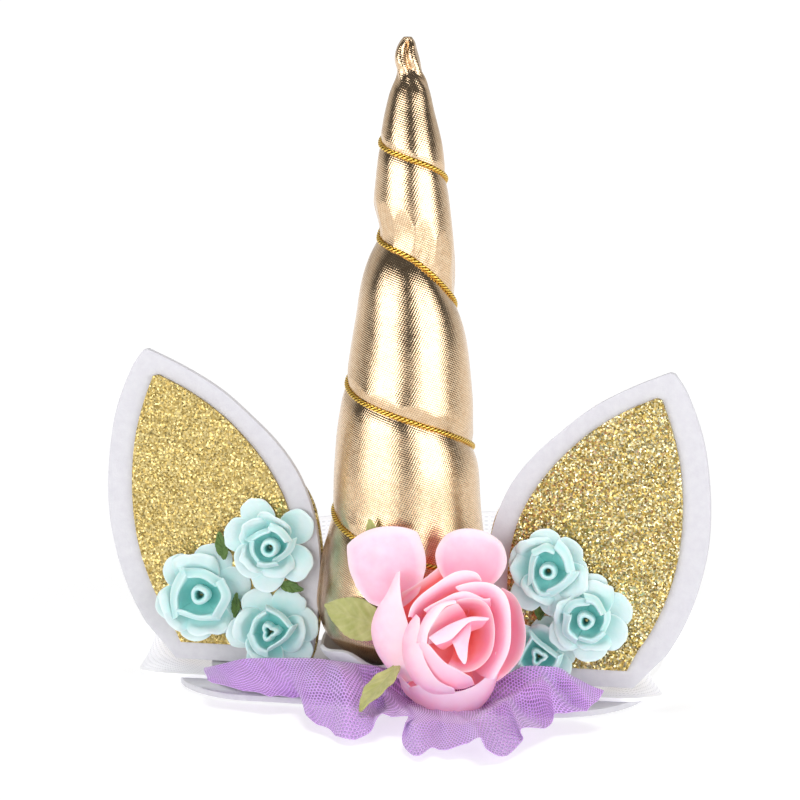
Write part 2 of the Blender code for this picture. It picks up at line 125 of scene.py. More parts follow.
deselect()
bpy.ops.mesh.primitive_circle_add(vertices=96, radius=5, fill_type="NGON", location=(0, 0, -0.0006))
floor = bpy.context.object
floor.name = "floor"
floor_finish, tree, shader = finish_of(
    "floor_paper", Base_Color=(0.5, 0.5, 0.5, 1), Roughness=0.9, Specular_IOR_Level=0.0, Emission_Strength=1.0
)
far = node(tree, "VectorMath", {0: object_place(tree)}, operation="LENGTH").outputs["Value"]
feed(tree, shader, Emission_Color=ramp(tree, far, ((0.1, (0.62, 0.62, 0.62)), (0.9, (0.9, 0.9, 0.9)))))
floor.data.materials.append(floor_finish)

LIGHTS = (
    # name, azimuth from the camera in degrees, distance, height of its middle, width, height, power in watts
    ("softbox_left", -44, 0.95, 0.22, 0.96, 0.42, 4.4),
    ("softbox_right", 44, 0.95, 0.22, 0.96, 0.42, 4.4),
    ("overhead", 20, 0.12, 1.25, 0.5, 0.5, 6.0),
)
for name, azimuth, distance, height, width, tall, power in LIGHTS:
    turn = CAMERA_AZIMUTH + math.radians(azimuth)
    place = Vector((math.sin(turn) * distance, -math.cos(turn) * distance, height))
    aim = (place - Vector((0, 0, 0.06))).to_track_quat("Z", "Y").to_euler()
    deselect()
    bpy.ops.object.light_add(type="AREA", location=place, rotation=aim)
    light = bpy.context.object
    light.name = name
    light.data.shape = "RECTANGLE"
    light.data.size = width
    light.data.size_y = tall
    light.data.energy = power
    light.visible_camera = False

world = bpy.data.worlds.new("studio")
bpy.context.scene.world = world
world.use_nodes = True
tree = world.node_tree
tree.nodes.clear()
path = node(tree, "LightPath")
dim = node(tree, "Background", {"Color": (1, 1, 1, 1), "Strength": 0.3})
behind = (-math.sin(CAMERA_AZIMUTH), math.cos(CAMERA_AZIMUTH), 0.0)
ray = node(tree, "TexCoord").outputs["Generated"]
away = node(tree, "VectorMath", {0: ray, 1: behind}, operation="DOT_PRODUCT")
backdrop = ramp(tree, away.outputs["Value"], ((0.22, (0.10, 0.10, 0.10)), (0.42, (0.64, 0.64, 0.64))))
dark = node(tree, "Background", {"Color": backdrop, "Strength": 1.0})
white = node(tree, "Background", {"Color": (1, 1, 1, 1), "Strength": 1.1})
soft = node(tree, "MixShader", {0: path.outputs["Is Glossy Ray"], 1: dim.outputs[0], 2: dark.outputs[0]})
seen = node(tree, "MixShader", {0: path.outputs["Is Camera Ray"], 1: soft.outputs[0], 2: white.outputs[0]})
node(tree, "OutputWorld", {0: seen.outputs[0]})


# Felt base. Two ovals of 1.2 mm craft felt, punched out and glued together at the front with the ends of the
# elastic between them. The felt is matt, with short fibres and soft cut edges.

TURN = 2 * math.pi
GAP = 0.35
FELT = 1.2
BASE_TOP = 4.1
BASE_WIDTH = 41


def between(table, column, at):
    """Reads a column of a table smoothly at these values of the table's first column."""
    keys = np.array([row[0] for row in table], float)
    values = np.array([row[column] for row in table], float)
    slopes = np.gradient(values, keys)
    at = np.asarray(at, float)
    i = np.clip(np.searchsorted(keys, at, side="right") - 1, 0, len(keys) - 2)
    span = keys[i + 1] - keys[i]
    t = np.clip((at - keys[i]) / span, 0, 1)
    start = (2 * t**3 - 3 * t**2 + 1) * values[i] + (t**3 - 2 * t**2 + t) * span * slopes[i]
    return start + (3 * t**2 - 2 * t**3) * values[i + 1] + (t**3 - t**2) * span * slopes[i + 1]


def smooth_noise(points, size, seed):
    """Soft noise from -1 to 1 at these points, with lumps of about this size, made of a few waves."""
    draw = np.random.default_rng(seed)
    total = np.zeros(len(points))
    for _ in range(9):
        direction = draw.normal(size=3)
        direction /= np.linalg.norm(direction)
        wave = TURN / (size * draw.uniform(1.2, 3.0))
        total += np.sin(points @ direction * wave + draw.uniform(0, TURN))
    return total / 4.5


def points_of(piece):
    """The places of a piece's vertices as an array."""
    places = np.empty(len(piece.data.vertices) * 3)
    piece.data.vertices.foreach_get("co", places)
    return places.reshape(-1, 3)


def move_points(piece, places):
    piece.data.vertices.foreach_set("co", np.ascontiguousarray(places, dtype=float).ravel())
    piece.data.update()


def grid(name, columns, rows):
    """A flat grid from -1 to 1, ready to be shaped, and its points' places in it."""
    deselect()
    bpy.ops.mesh.primitive_grid_add(x_subdivisions=columns, y_subdivisions=rows, size=2)
    sheet = bpy.context.object
    sheet.name = name
    sheet.data.name = name
    flat = points_of(sheet)
    return sheet, flat[:, 0].copy(), flat[:, 1].copy()


def make_active(piece):
    deselect()
    piece.select_set(True)
    bpy.context.view_layer.objects.active = piece


def close_seam(piece, ends=False):
    """Sews up the two edges of a rolled sheet where they meet, and its open ends if told to."""
    make_active(piece)
    bpy.ops.object.mode_set(mode="EDIT")
    bpy.ops.mesh.select_mode(type="VERT")
    bpy.ops.mesh.select_all(action="SELECT")
    bpy.ops.mesh.remove_doubles(threshold=0.001)
    if ends:
        bpy.ops.mesh.fill_holes(sides=0)
    bpy.ops.mesh.normals_make_consistent(inside=False)
    bpy.ops.object.mode_set(mode="OBJECT")


def lay_pattern(piece, across, along):
    """Writes these two values of each point into the piece's UV map."""
    corners = np.empty(len(piece.data.loops), dtype=int)
    piece.data.loops.foreach_get("vertex_index", corners)
    uv = piece.data.uv_layers.get("UVMap") or piece.data.uv_layers.new(name="UVMap")
    uv.data.foreach_set("uv", np.column_stack((across[corners], along[corners])).ravel())


def give_wall(piece, thickness, edge=0.0, smooth=0):
    """Thickens a sheet, rounds its cut edge and smooths it, with modifiers that are then applied."""
    make_active(piece)
    wall = piece.modifiers.new("Wall", "SOLIDIFY")
    wall.thickness = thickness
    wall.offset = 0
    names = ["Wall"]
    if edge:
        round_edge = piece.modifiers.new("Edge", "BEVEL")
        round_edge.width = edge
        round_edge.segments = 3
        round_edge.limit_method = "ANGLE"
        round_edge.angle_limit = math.radians(50)
        names.append("Edge")
    if smooth:
        surface = piece.modifiers.new("Smooth", "SUBSURF")
        surface.levels = smooth
        surface.render_levels = smooth
        names.append("Smooth")
    for name in names:
        bpy.ops.object.modifier_apply(modifier=name)


def settle(piece, finish, slot, *nodes, angle=60):
    """Gives a finished piece its finish, turns it into metres, and lets it stand for these nodes."""
    make_active(piece)
    piece.data.materials.clear()
    piece.data.materials.append(finish)
    piece.data.transform(Matrix.Scale(0.001, 4))
    bpy.ops.object.shade_smooth_by_angle(angle=math.radians(angle))
    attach(piece, "root")
    if nodes:
        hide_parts(*nodes)


def shader_group(name, inputs, outputs):
    """A new group of shader nodes with sockets of these names, and the lists of sockets that its inputs come
    from and its outputs go to. Those named Vector and Normal are vectors, and the others are values."""
    group = bpy.data.node_groups.new(name, "ShaderNodeTree")
    for names, way in ((inputs, "INPUT"), (outputs, "OUTPUT")):
        for socket in names:
            kind = "NodeSocketVector" if socket in ("Vector", "Normal") else "NodeSocketFloat"
            group.interface.new_socket(socket, in_out=way, socket_type=kind)
    return group, group.nodes.new("NodeGroupInput").outputs, group.nodes.new("NodeGroupOutput").inputs


def bumped(tree, height, strength, depth):
    """The surface's normals, tipped as this height rises and falls, with its depth in metres."""
    return node(tree, "Bump", {"Strength": strength, "Distance": depth, "Height": height}).outputs[0]


felt_fibres, start, end = shader_group("felt_fibres", ("Vector",), ("Height", "Mask"))
heights = []
for turn, scale in ((0.5, (900, 4200, 2500)), (1.7, (3800, 800, 2600)), (2.6, (2400, 3600, 700))):
    turned = node(felt_fibres, "Mapping", {0: start[0], "Rotation": (turn, turn, turn), "Scale": scale})
    combed = {0: turned.outputs[0], "Scale": 1.0, "Detail": 2.0, "Distortion": 0.8}
    heights.append(node(felt_fibres, "TexNoise", combed).outputs[0])
most = maths(felt_fibres, "MAXIMUM", maths(felt_fibres, "MAXIMUM", heights[0], heights[1]), heights[2])
lumpy = node(felt_fibres, "TexNoise", {0: start[0], "Scale": 620.0, "Detail": 5.0, "Roughness": 0.6})
lumps = lumpy.outputs[0]
height = maths(felt_fibres, "MULTIPLY_ADD", most, 0.8, maths(felt_fibres, "MULTIPLY", lumps, 0.7))
felt_fibres.links.new(height, end[0])
felt_fibres.links.new(lumps, end[1])

white_felt, tree, shader = finish_of(
    "white_felt", Roughness=0.95, Sheen_Weight=0.35, Sheen_Roughness=0.6, Specular_IOR_Level=0.15
)
fibres = node(tree, "Group", {0: object_place(tree)}, node_tree=felt_fibres).outputs
colour = ramp(tree, fibres[1], ((0.3, (0.62, 0.61, 0.655)), (0.66, (0.67, 0.665, 0.70))))
feed(tree, shader, Base_Color=colour, Normal=bumped(tree, fibres[0], 0.35, 0.0002))


def felt_oval(name, length, shift, bottom):
    """A soft punched oval, its outline slightly uneven from the knife."""
    sheet, s, t = grid(f"{name}_oval", 90, 30)
    end = BASE_WIDTH / 2
    x = np.sin(s * math.pi / 2) * length / 2
    past = np.maximum(0, np.abs(x) - (length / 2 - end))
    half = np.sqrt(np.maximum(0.01, end**2 - past**2))
    y = t * half
    flat = np.column_stack((x + shift, y, np.full(len(x), bottom + FELT / 2)))
    flat[:, 2] += 0.05 * smooth_noise(flat, 9, 3)
    move_points(sheet, flat)
    give_wall(sheet, FELT, edge=0.35)
    settle(sheet, white_felt, "white_felt", name)


felt_oval("base_felt_lower", 101, 1, 0.05)
felt_oval("base_felt_upper", 82, -1.5, BASE_TOP - FELT)


# Elastic band. A closed loop of soft 20 mm elastic mesh, lying flat between the felts and then turning up to
# stand on its edge round the back. It is knitted with fine ribs along it, and light shows through it.

BAND_WALL = 0.8
BAND_WIDTH = 20
BAND_LENGTH = 356
BAND_SHIFT = -0.6
BAND_PATH = (
    # row, x on the right and on the left, y, height of the middle, twist from lying to standing
    (0, 0.0, 0.0, 0.0, 2.05, 0), (1, 24.0, 24.0, 0.0, 2.05, 0), (2, 43.2, 44.0, 0.0, 2.05, 0),
    (3, 48.0, 50.6, 1.2, 4.9, 20), (4, 49.6, 55.4, 6.6, 11.6, 74), (5, 50.0, 57.4, 18.0, 11.6, 88),
    (6, 49.4, 58.8, 36.0, 10.5, 90), (7, 46.8, 54.2, 54.0, 10.5, 90), (8, 39.6, 43.2, 71.0, 10.5, 90),
    (9, 23.4, 24.6, 84.0, 10.5, 90), (10, 0.0, 0.0, 90.0, 10.5, 90), (11, -23.4, -24.6, 84.0, 10.5, 90),
)
BAND_AROUND = 420
BAND_ACROSS = 24


def unit(vectors):
    """These vectors, each made one long."""
    return vectors / np.linalg.norm(vectors, axis=1)[:, None]


def own_pattern(tree):
    return node(tree, "UVMap", uv_map="UVMap").outputs[0]


def band_middle(share):
    """The band's middle line: its places and its twist, at shares from 0 at the front to 20 all round."""
    share = np.mod(share, 20)
    on_right = share <= 10
    row = np.where(on_right, share, 20 - share)
    right, left, y, z, twist = (between(BAND_PATH, column, row) for column in range(1, 6))
    x = np.where(on_right, right, -left) + BAND_SHIFT
    return np.column_stack((x, y, z)), np.radians(twist)


band, s, side = grid("band_mesh", BAND_AROUND, BAND_ACROSS)
share = (s + 1) * 10
middle, twist = band_middle(share)
ahead = band_middle(share + 0.15)[0] - band_middle(share - 0.15)[0]
inward = unit(np.column_stack((-ahead[:, 1], ahead[:, 0], np.zeros(len(share)))))
across = inward * np.cos(twist)[:, None] + np.column_stack((np.zeros((len(share), 2)), np.sin(twist)))
outward = unit(np.cross(across, ahead))
loose = np.clip((middle[:, 1] - 12) / 14, 0, 1)
wave = 0.25 * np.sin(share * 5.1) + 0.5 * side * np.sin(share * 2.3 + 0.6)
places = middle + across * (side * (BAND_WIDTH - 0.3) / 2)[:, None] + outward * (loose * wave)[:, None]
move_points(band, places)
lay_pattern(band, share / 20 * BAND_LENGTH, (side + 1) / 2 * BAND_WIDTH)
close_seam(band)
give_wall(band, BAND_WALL)

RIB_PITCH = 1.0
LADDER_PITCH = 1.1
elastic, start, end = shader_group("elastic_mesh", ("Vector",), ("Height", "Cover"))
xy = node(elastic, "SeparateXYZ", {0: start[0]}).outputs
around = maths(elastic, "SINE", maths(elastic, "MULTIPLY", xy[0], TURN / LADDER_PITCH))
over = maths(elastic, "SINE", maths(elastic, "MULTIPLY", xy[1], TURN / RIB_PITCH))
ladder = maths(elastic, "MULTIPLY_ADD", maths(elastic, "MULTIPLY", around, over), 0.5, 0.5)
rib = maths(elastic, "MULTIPLY_ADD", over, 0.5, 0.5)
height = maths(elastic, "MULTIPLY_ADD", rib, 0.45, maths(elastic, "MULTIPLY", ladder, 0.55))
from_middle = maths(elastic, "ABSOLUTE", maths(elastic, "SUBTRACT", xy[1], BAND_WIDTH / 2))
hem = node(elastic, "MapRange", {0: from_middle, 1: 9.0, 2: 9.2}).outputs[0]
cover = node(elastic, "MapRange", {0: height, 1: 0.2, 2: 0.6, 3: 0.72, 4: 0.92}).outputs[0]
elastic.links.new(height, end[0])
elastic.links.new(maths(elastic, "MAXIMUM", cover, hem), end[1])

# The elastic glows faintly in near white: painted light standing in for light shining through the band.
white_elastic, tree, shader = finish_of(
    "white_elastic", Roughness=0.75, Sheen_Weight=0.3,
    Emission_Color=(0.9, 0.9, 0.95, 1), Emission_Strength=0.22
)
pattern = node(tree, "Group", {0: own_pattern(tree)}, node_tree=elastic).outputs
# The knit's colour is a little darker in its low spots: painted shade of its hollows.
colour = ramp(tree, pattern[0], ((0.1, (0.80, 0.80, 0.83)), (0.75, (0.90, 0.90, 0.92))))
feed(tree, shader, Base_Color=colour, Alpha=pattern[1], Normal=bumped(tree, pattern[0], 0.3, 0.00008))
settle(band, white_elastic, "white_elastic", "band")


# Horn. A cone of champagne lame cloth, sewn up the back, stuffed hard with fibre, and knotted at its tip. The
# cord is wound round it tightly, so the cloth puffs out between the turns and puckers above them.

HORN_AROUND = 176
HORN_ROWS = 430
HORN_SEAM = math.radians(78)
TUCK_BESIDE_EAR = math.radians(193)
KNOT_CREASE = math.radians(-79)
PATTERN_POINT = 160
PATTERN_FAN = 0.113
HORN_PROFILE = (
    # height, radius, lean
    (6.4, 9.0, 0.0), (8.4, 13.0, 0.0), (10.8, 16.0, 0.0), (16.0, 17.9, 0.0), (24.3, 17.5, -0.2),
    (33.7, 16.5, 0.0), (39.0, 15.8, 0.1), (48.0, 15.3, 0.0), (54.0, 14.6, -0.2), (62.3, 13.9, 0.3),
    (67.6, 13.2, 0.6), (74.7, 12.3, 0.7), (80.9, 11.2, 0.6), (86.4, 10.3, 0.5), (92.8, 9.3, 1.0),
    (98.1, 8.3, 1.6), (105.3, 7.9, 1.1), (109.5, 7.4, 1.0), (117.1, 6.5, 1.0), (124.0, 5.1, 0.8),
    (128.6, 3.9, 0.9), (130.8, 2.95, 1.0), (132.4, 2.7, 0.7), (134.2, 2.75, 0.3), (136.4, 2.3, 0.1),
    (138.2, 1.6, 0.3), (139.1, 0.9, 0.35),
)
CORD_RADIUS = 0.5
CORD_START = math.radians(103)
CORD_HEIGHTS = (
    # quarter turns, height
    (0, 120.6), (1, 117.1), (2, 114.2), (3, 109.5), (4, 103.4), (5, 97.3), (6, 93.6), (7, 83.2), (8, 74.0),
    (9, 66.3), (10, 60.2), (11, 52.4), (12, 45.4), (13, 38.6), (14, 31.1), (15, 23.4), (16, 17.8),
)
CORD_PULL = (
    # quarter turns, how deep the cord pulls, and how far that reaches above and below it
    (0, 0.1, 1.5, 1.5), (1, 0.4, 1.8, 1.4), (3, 0.35, 1.8, 1.4), (4, 0.8, 4.0, 3.0), (5, 1.4, 6.0, 4.2),
    (6, 1.5, 7.6, 3.0), (7, 1.3, 7.0, 3.0), (8, 0.9, 4.5, 3.0), (9, 0.7, 2.4, 2.0), (10, 0.7, 2.8, 1.8),
    (11, 0.7, 2.8, 2.0), (12, 0.6, 2.6, 2.0), (13, 0.5, 2.4, 2.0), (14, 0.6, 2.6, 2.0), (15, 0.6, 3.0, 3.0),
    (16, 0.1, 2.0, 2.0),
)


def away_from(middle, angle):
    """How far these angles are from this one, from minus half a turn to half a turn."""
    return np.mod(angle - middle + math.pi, TURN) - math.pi


def horn_radius(height, angle):
    """The horn's radius with all its pinches, puckers and soft dents, at arrays of heights and angles."""
    radius = between(HORN_PROFILE, 1, height)
    first = np.mod(angle - CORD_START, TURN) / (TURN / 4)
    pulled = np.zeros(len(height))
    gathers = np.zeros(len(height))
    for turn in range(5):
        quarter = first + 4 * turn
        inside = quarter <= 16
        quarter = np.minimum(quarter, 16)
        above = height - between(CORD_HEIGHTS, 1, quarter)
        depth, upwards, downwards = (between(CORD_PULL, column, quarter) for column in (1, 2, 3))
        scallop = 0.74 + 0.36 * np.abs(np.sin(angle * 5.5 + 0.9 * turn)) + 0.1 * np.sin(angle * 2.3)
        reach = np.where(above > 0, upwards * scallop, downwards)
        flap = np.clip(1 - above / (upwards * scallop * 1.25), 0, 1) ** 1.15
        shape = np.where(above > 0, flap, np.exp(-((np.abs(above) / reach) ** 1.35))) * inside
        pulled = np.maximum(pulled, depth * shape)
        fade = np.exp(-((above / (reach * 0.8)) ** 2)) * inside * (0.35 + 0.65 * (above > 0))
        ridges = np.sin(angle * 9 + above * 0.22 + turn) + 0.5 * np.sin(angle * 23 - above * 0.3 + 2 * turn)
        gathers += fade * ridges * depth * 0.045
    around = np.column_stack((np.cos(angle) * 10, np.sin(angle) * 10, height * 0.55))
    slim = np.clip(radius / 9, 0.25, 1)
    dents = 0.13 * smooth_noise(around, 9, 11) + 0.05 * smooth_noise(around, 3.6, 12)
    tip = np.clip((height - 130.4) / 2.0, 0, 1) * np.clip((139.0 - height) / 1.2, 0, 1)
    away = np.abs(away_from(KNOT_CREASE + 0.07 * np.sin(height - 131), angle))
    crease = np.exp(-((away / 0.30) ** 2)) * 0.95 + 0.12 * np.exp(-(((away - 1.35) / 0.4) ** 2))
    lobes = 0.22 * np.exp(-(((away - 0.75) / 0.35) ** 2))
    neck = np.clip(1 - np.abs(height - 130.9) / 3.2, 0, 1)
    twist = 0.16 * neck * np.sin(angle * 6 + height * 1.5)
    seam = 0.35 * np.exp(-((away_from(HORN_SEAM, angle) * radius / 0.5) ** 2))
    tuck = 1.1 * np.exp(-((away_from(TUCK_BESIDE_EAR, angle) / 0.09) ** 2) - ((height - 23) / 9.5) ** 4)
    return radius - pulled + gathers + dents * slim - tip * (crease - lobes) + twist - seam * slim + tuck


def round_horn(height, angle, radius):
    """Places round the horn's leaning axis."""
    lean = between(HORN_PROFILE, 2, height)
    return np.column_stack((lean + radius * np.cos(angle), radius * np.sin(angle), height))


horn, s, t = grid("horn_cloth", HORN_AROUND, HORN_ROWS)
angle = HORN_SEAM + (s + 1) * math.pi
rise = (t + 1) / 2
foot, top = HORN_PROFILE[0][0], HORN_PROFILE[-1][0]
height = foot + (top - foot) * (0.25 * (1 - (1 - rise) ** 2) + 0.75 * rise)
move_points(horn, round_horn(height, angle, horn_radius(height, angle)))
slant = PATTERN_POINT - height
fan = (s + 1) * math.pi * PATTERN_FAN
lay_pattern(horn, slant * np.sin(fan), slant * np.cos(fan))
close_seam(horn)
for level, drop in ((foot, 0.5), (top, -1.6)):
    make_active(horn)
    bpy.ops.object.mode_set(mode="EDIT")
    bpy.ops.mesh.select_all(action="DESELECT")
    bpy.ops.object.mode_set(mode="OBJECT")
    for vert in horn.data.vertices:
        vert.select = abs(vert.co.z - level) < 0.001
    bpy.ops.object.mode_set(mode="EDIT")
    bpy.ops.mesh.select_mode(type="VERT")
    for share in (0.75, 0.6, 0.4):
        bpy.ops.mesh.extrude_region_move(TRANSFORM_OT_translate={"value": (0, 0, drop / 3)})
        bpy.ops.transform.resize(value=(share, share, 1))
    bpy.ops.mesh.merge(type="CENTER")
    bpy.ops.mesh.select_all(action="SELECT")
    bpy.ops.mesh.normals_make_consistent(inside=False)
    bpy.ops.object.mode_set(mode="OBJECT")

weave, start, end = shader_group("lame_weave", ("Vector", "Pitch"), ("Height", "Wear"))
xy = node(weave, "SeparateXYZ", {0: start[0]}).outputs
slope = maths(weave, "DIVIDE", TURN, start[1])
one = maths(weave, "SINE", maths(weave, "MULTIPLY", maths(weave, "ADD", xy[0], xy[1]), slope))
two = maths(weave, "SINE", maths(weave, "MULTIPLY", maths(weave, "SUBTRACT", xy[0], xy[1]), slope))
uneven = node(weave, "TexNoise", {0: start[0], "Scale": 0.9, "Detail": 3.0}).outputs[0]
specks = node(weave, "TexNoise", {0: start[0], "Scale": 3.4, "Detail": 2.0}).outputs[0]
thread = maths(weave, "MULTIPLY", one, two)
weave.links.new(maths(weave, "MULTIPLY_ADD", specks, 1.6, thread), end[0])
weave.links.new(uneven, end[1])

THREAD_PITCH = 0.84
gold_foil, tree, shader = finish_of("gold_foil", Metallic=1.0, Roughness=0.2)
threads = node(tree, "Group", {0: own_pattern(tree), 1: THREAD_PITCH}, node_tree=weave).outputs
colour = ramp(tree, threads[1], ((0.3, (0.74, 0.51, 0.31)), (0.7, (0.85, 0.64, 0.42))))
# The lame's colour is darkened in the weave's low spots and made a touch lighter on its raised threads:
# painted shade and a faint painted highlight.
painted_weave_shade = node(tree, "MapRange", {0: threads[0], 1: -0.2, 2: 1.2, 3: 0.6, 4: 1.06}).outputs[0]
shaded = blend_colours(tree, 1.0, colour, painted_weave_shade, "MULTIPLY")
rough = maths(tree, "MULTIPLY_ADD", threads[1], 0.12, 0.1)
feed(tree, shader, Base_Color=shaded, Roughness=rough, Normal=bumped(tree, threads[0], 0.8, 0.000018))
settle(horn, gold_foil, "gold_foil", "horn", angle=180)


# Cord. A thin gold cord of three twisted metallic strands, glued behind the horn's neck, wound down in four
# turns and glued behind its foot.

CORD_RINGS = 2400
CORD_SIDES = 12
CORD_LAY = 0.95

quarter = np.linspace(0, 16, 4000)
angle = CORD_START + quarter * TURN / 4
height = between(CORD_HEIGHTS, 1, quarter)
line = round_horn(height, angle, horn_radius(height, angle) + CORD_RADIUS * 0.55)
for _ in range(60):
    line[1:-1] = (line[:-2] + 2 * line[1:-1] + line[2:]) / 4
run = np.concatenate(([0], np.cumsum(np.linalg.norm(np.diff(line, axis=0), axis=1))))
steps = np.linspace(0, run[-1], CORD_RINGS)
line = np.column_stack([np.interp(steps, run, line[:, axis]) for axis in range(3)])
ahead = unit(np.gradient(line, axis=0))
outward = unit(np.cross(ahead, (0, 0, 1.0)))
upward = np.cross(outward, ahead)
cord, s, t = grid("cord_strands", CORD_SIDES, CORD_RINGS - 1)
ring = np.rint((t + 1) / 2 * (CORD_RINGS - 1)).astype(int)
turn = s * math.pi
strand = 1.5 * turn - 0.5 * steps[ring] / CORD_LAY * TURN
thick = CORD_RADIUS * (0.72 + 0.36 * np.abs(np.cos(strand)))
out, up = ((thick * wave(turn))[:, None] for wave in (np.cos, np.sin))
move_points(cord, line[ring] + outward[ring] * out + upward[ring] * up)
lay_pattern(cord, strand, steps[ring])
close_seam(cord, ends=True)

gold_cord, tree, shader = finish_of("gold_cord", Metallic=0.9, Roughness=0.3)
strand = node(tree, "SeparateXYZ", {0: own_pattern(tree)}).outputs[0]
# The colour falls to near black in the grooves between the strands: painted shade.
painted_groove_shade = maths(tree, "ABSOLUTE", maths(tree, "COSINE", strand))
stops = ((0.25, (0.05, 0.015, 0.0)), (0.6, (0.72, 0.34, 0.015)), (0.9, (1.0, 0.72, 0.16)))
feed(tree, shader, Base_Color=ramp(tree, painted_groove_shade, stops))
settle(cord, gold_cord, "gold_cord", "horn_cord", angle=180)


# Collar. The horn's lower edge is glued into a shallow cup of white felt, whose wavy rim shows at the front.

COLLAR_ROWS = (
    # row, height, radius
    (0, 5.0, 0.0), (1, 5.0, 8.5), (2, 5.1, 10.8), (3, 5.6, 12.6), (4, 6.3, 14.9), (5, 7.5, 16.7),
    (6, 8.7, 17.9), (7, 9.8, 18.5),
)
collar, s, t = grid("collar_cup", 120, 28)
angle, row = s * math.pi, (t + 1) / 2 * 7
height, reach = between(COLLAR_ROWS, 1, row), between(COLLAR_ROWS, 2, row)
rim = np.clip((row - 2) / 5, 0, 1) ** 2
height += rim * (0.9 * np.sin(5 * angle + 0.6) + 0.5 * np.sin(9 * angle + 1.2))
reach = np.maximum(0, reach + rim * 0.4 * np.sin(7 * angle))
move_points(collar, np.column_stack((reach * np.cos(angle), reach * np.sin(angle), height)))
close_seam(collar)
give_wall(collar, 1.0, edge=0.25, smooth=1)
settle(collar, white_felt, "white_felt", "horn_collar")


# Ears. Each is a die-cut ear of white felt, glued to a gold glitter sheet behind it for stiffness, with a
# smaller ear of the same glitter sheet on its front. It stands on its straight foot and leans outwards.

EAR_FELT = 1.6
EAR_SHEET = 0.8
EAR_BACKING = 0.6
EAR_OUTLINE = (
    # height, outer side, inner side
    (0.0, -10.2, 18.0), (2.2, -11.2, 20.0), (4.6, -12.2, 21.4), (10.0, -14.4, 24.2), (16.0, -16.2, 26.2),
    (23.0, -17.3, 27.3), (30.0, -17.5, 27.4), (37.0, -16.9, 26.2), (44.0, -15.3, 23.3), (51.0, -12.9, 18.9),
    (58.0, -9.7, 13.7), (63.6, -6.0, 7.9), (67.6, -2.6, 3.0), (69.4, -0.4, 0.6),
)
GLITTER_OUTLINE = (
    (4.0, -8.0, 14.6), (5.1, -8.2, 15.6), (10.6, -9.2, 19.2), (16.0, -10.6, 21.2), (22.0, -11.6, 22.4),
    (30.0, -11.9, 22.6), (38.0, -10.9, 20.8), (46.0, -8.8, 17.2), (53.0, -6.0, 12.7), (59.6, -2.2, 6.6),
    (63.6, 0.6, 1.8),
)
BACKING_OUTLINE = tuple(
    (height * 0.99, outer + 0.5, inner + (0.35 if height < 34 else -0.6))
    for height, outer, inner in EAR_OUTLINE
)
EARS = {
    # side: mirror, lean outwards, place of the foot's middle
    "left": (1, math.radians(14.0), (-39.4, -4.0, BASE_TOP + GAP)),
    "right": (-1, math.radians(15.2), (40.2, -8.0, BASE_TOP + GAP)),
}

FLAKES_PER_METRE = 2900.0
flakes, start, end = shader_group(
    "glitter_flakes", ("Vector", "Flakes per metre", "Tilt"), ("Normal", "Shade")
)
cells = node(flakes, "TexVoronoi", {"Vector": start[0], "Scale": start[1]}).outputs["Color"]
random = node(flakes, "VectorMath", {0: cells, 1: (-0.5, -0.5, -0.5)}, operation="ADD").outputs[0]
lean = node(flakes, "VectorMath", {0: random, "Scale": start[2]}, operation="SCALE").outputs[0]
facing = node(flakes, "NewGeometry").outputs["Normal"]
tipped = node(flakes, "VectorMath", {0: facing, 1: lean}, operation="ADD").outputs[0]
flakes.links.new(node(flakes, "VectorMath", {0: tipped}, operation="NORMALIZE").outputs[0], end[0])
flakes.links.new(node(flakes, "SeparateColor", {0: cells}).outputs[1], end[1])


def glitter_finish(name, tilt, low, mid, high):
    """Coarse gold glitter: every flake is a small mirror with its own tilt and shade."""
    material, tree, shader = finish_of(name, Metallic=0.85, Roughness=0.3)
    sockets = {0: object_place(tree), 1: FLAKES_PER_METRE, 2: tilt}
    spread = node(tree, "Group", sockets, node_tree=flakes).outputs
    colour = ramp(tree, spread[1], ((0.0, low), (0.45, mid), (0.95, high)))
    feed(tree, shader, Base_Color=colour, Normal=spread[0])
    return material


# Both ears carry the same glitter, made here in two copies: the right ear's is brighter and more contrasty,
# painted light for the way the light falls on that ear, and the left ear's is duller.
soft_glitter = glitter_finish(
    "glitter_left", 0.75, (0.28, 0.19, 0.05), (0.50, 0.37, 0.12), (0.78, 0.64, 0.29)
)
glitter_painted_lit_copy = glitter_finish(
    "glitter_right_painted_light", 1.2, (0.22, 0.14, 0.02), (0.66, 0.49, 0.15), (1.0, 0.95, 0.62)
)


def ear_layer(name, side, outline, thickness, forward, edge):
    """One flat layer of an ear, cut to its outline and set standing."""
    mirror, lean, place = EARS[side]
    sheet, s, t = grid(f"{name}_cut", 34, 60)
    foot, top = outline[0][0], outline[-1][0]
    share = (t + 1) / 2
    height = foot + (top - foot) * share
    outer, inner = between(outline, 1, height), between(outline, 2, height)
    x = outer + (inner - outer) * (s + 1) / 2
    height -= np.clip(1 - share * 6, 0, 1) * math.tan(lean) * x
    flat = np.column_stack((mirror * x, height, np.zeros(len(x))))
    leaning = Matrix.Rotation(-mirror * lean, 3, "Y") @ Matrix.Rotation(math.radians(90), 3, "X")
    stood = flat @ np.array(leaning).T + np.array((place[0], place[1] - forward, place[2]))
    bow = 0.5 * np.sin((height / 70) * math.pi) + 0.12 * smooth_noise(stood * (1, 0, 1), 26, 21)
    stood[:, 1] += bow
    if mirror < 0:
        sheet.data.flip_normals()
    move_points(sheet, stood)
    give_wall(sheet, thickness, edge=edge)
    return sheet


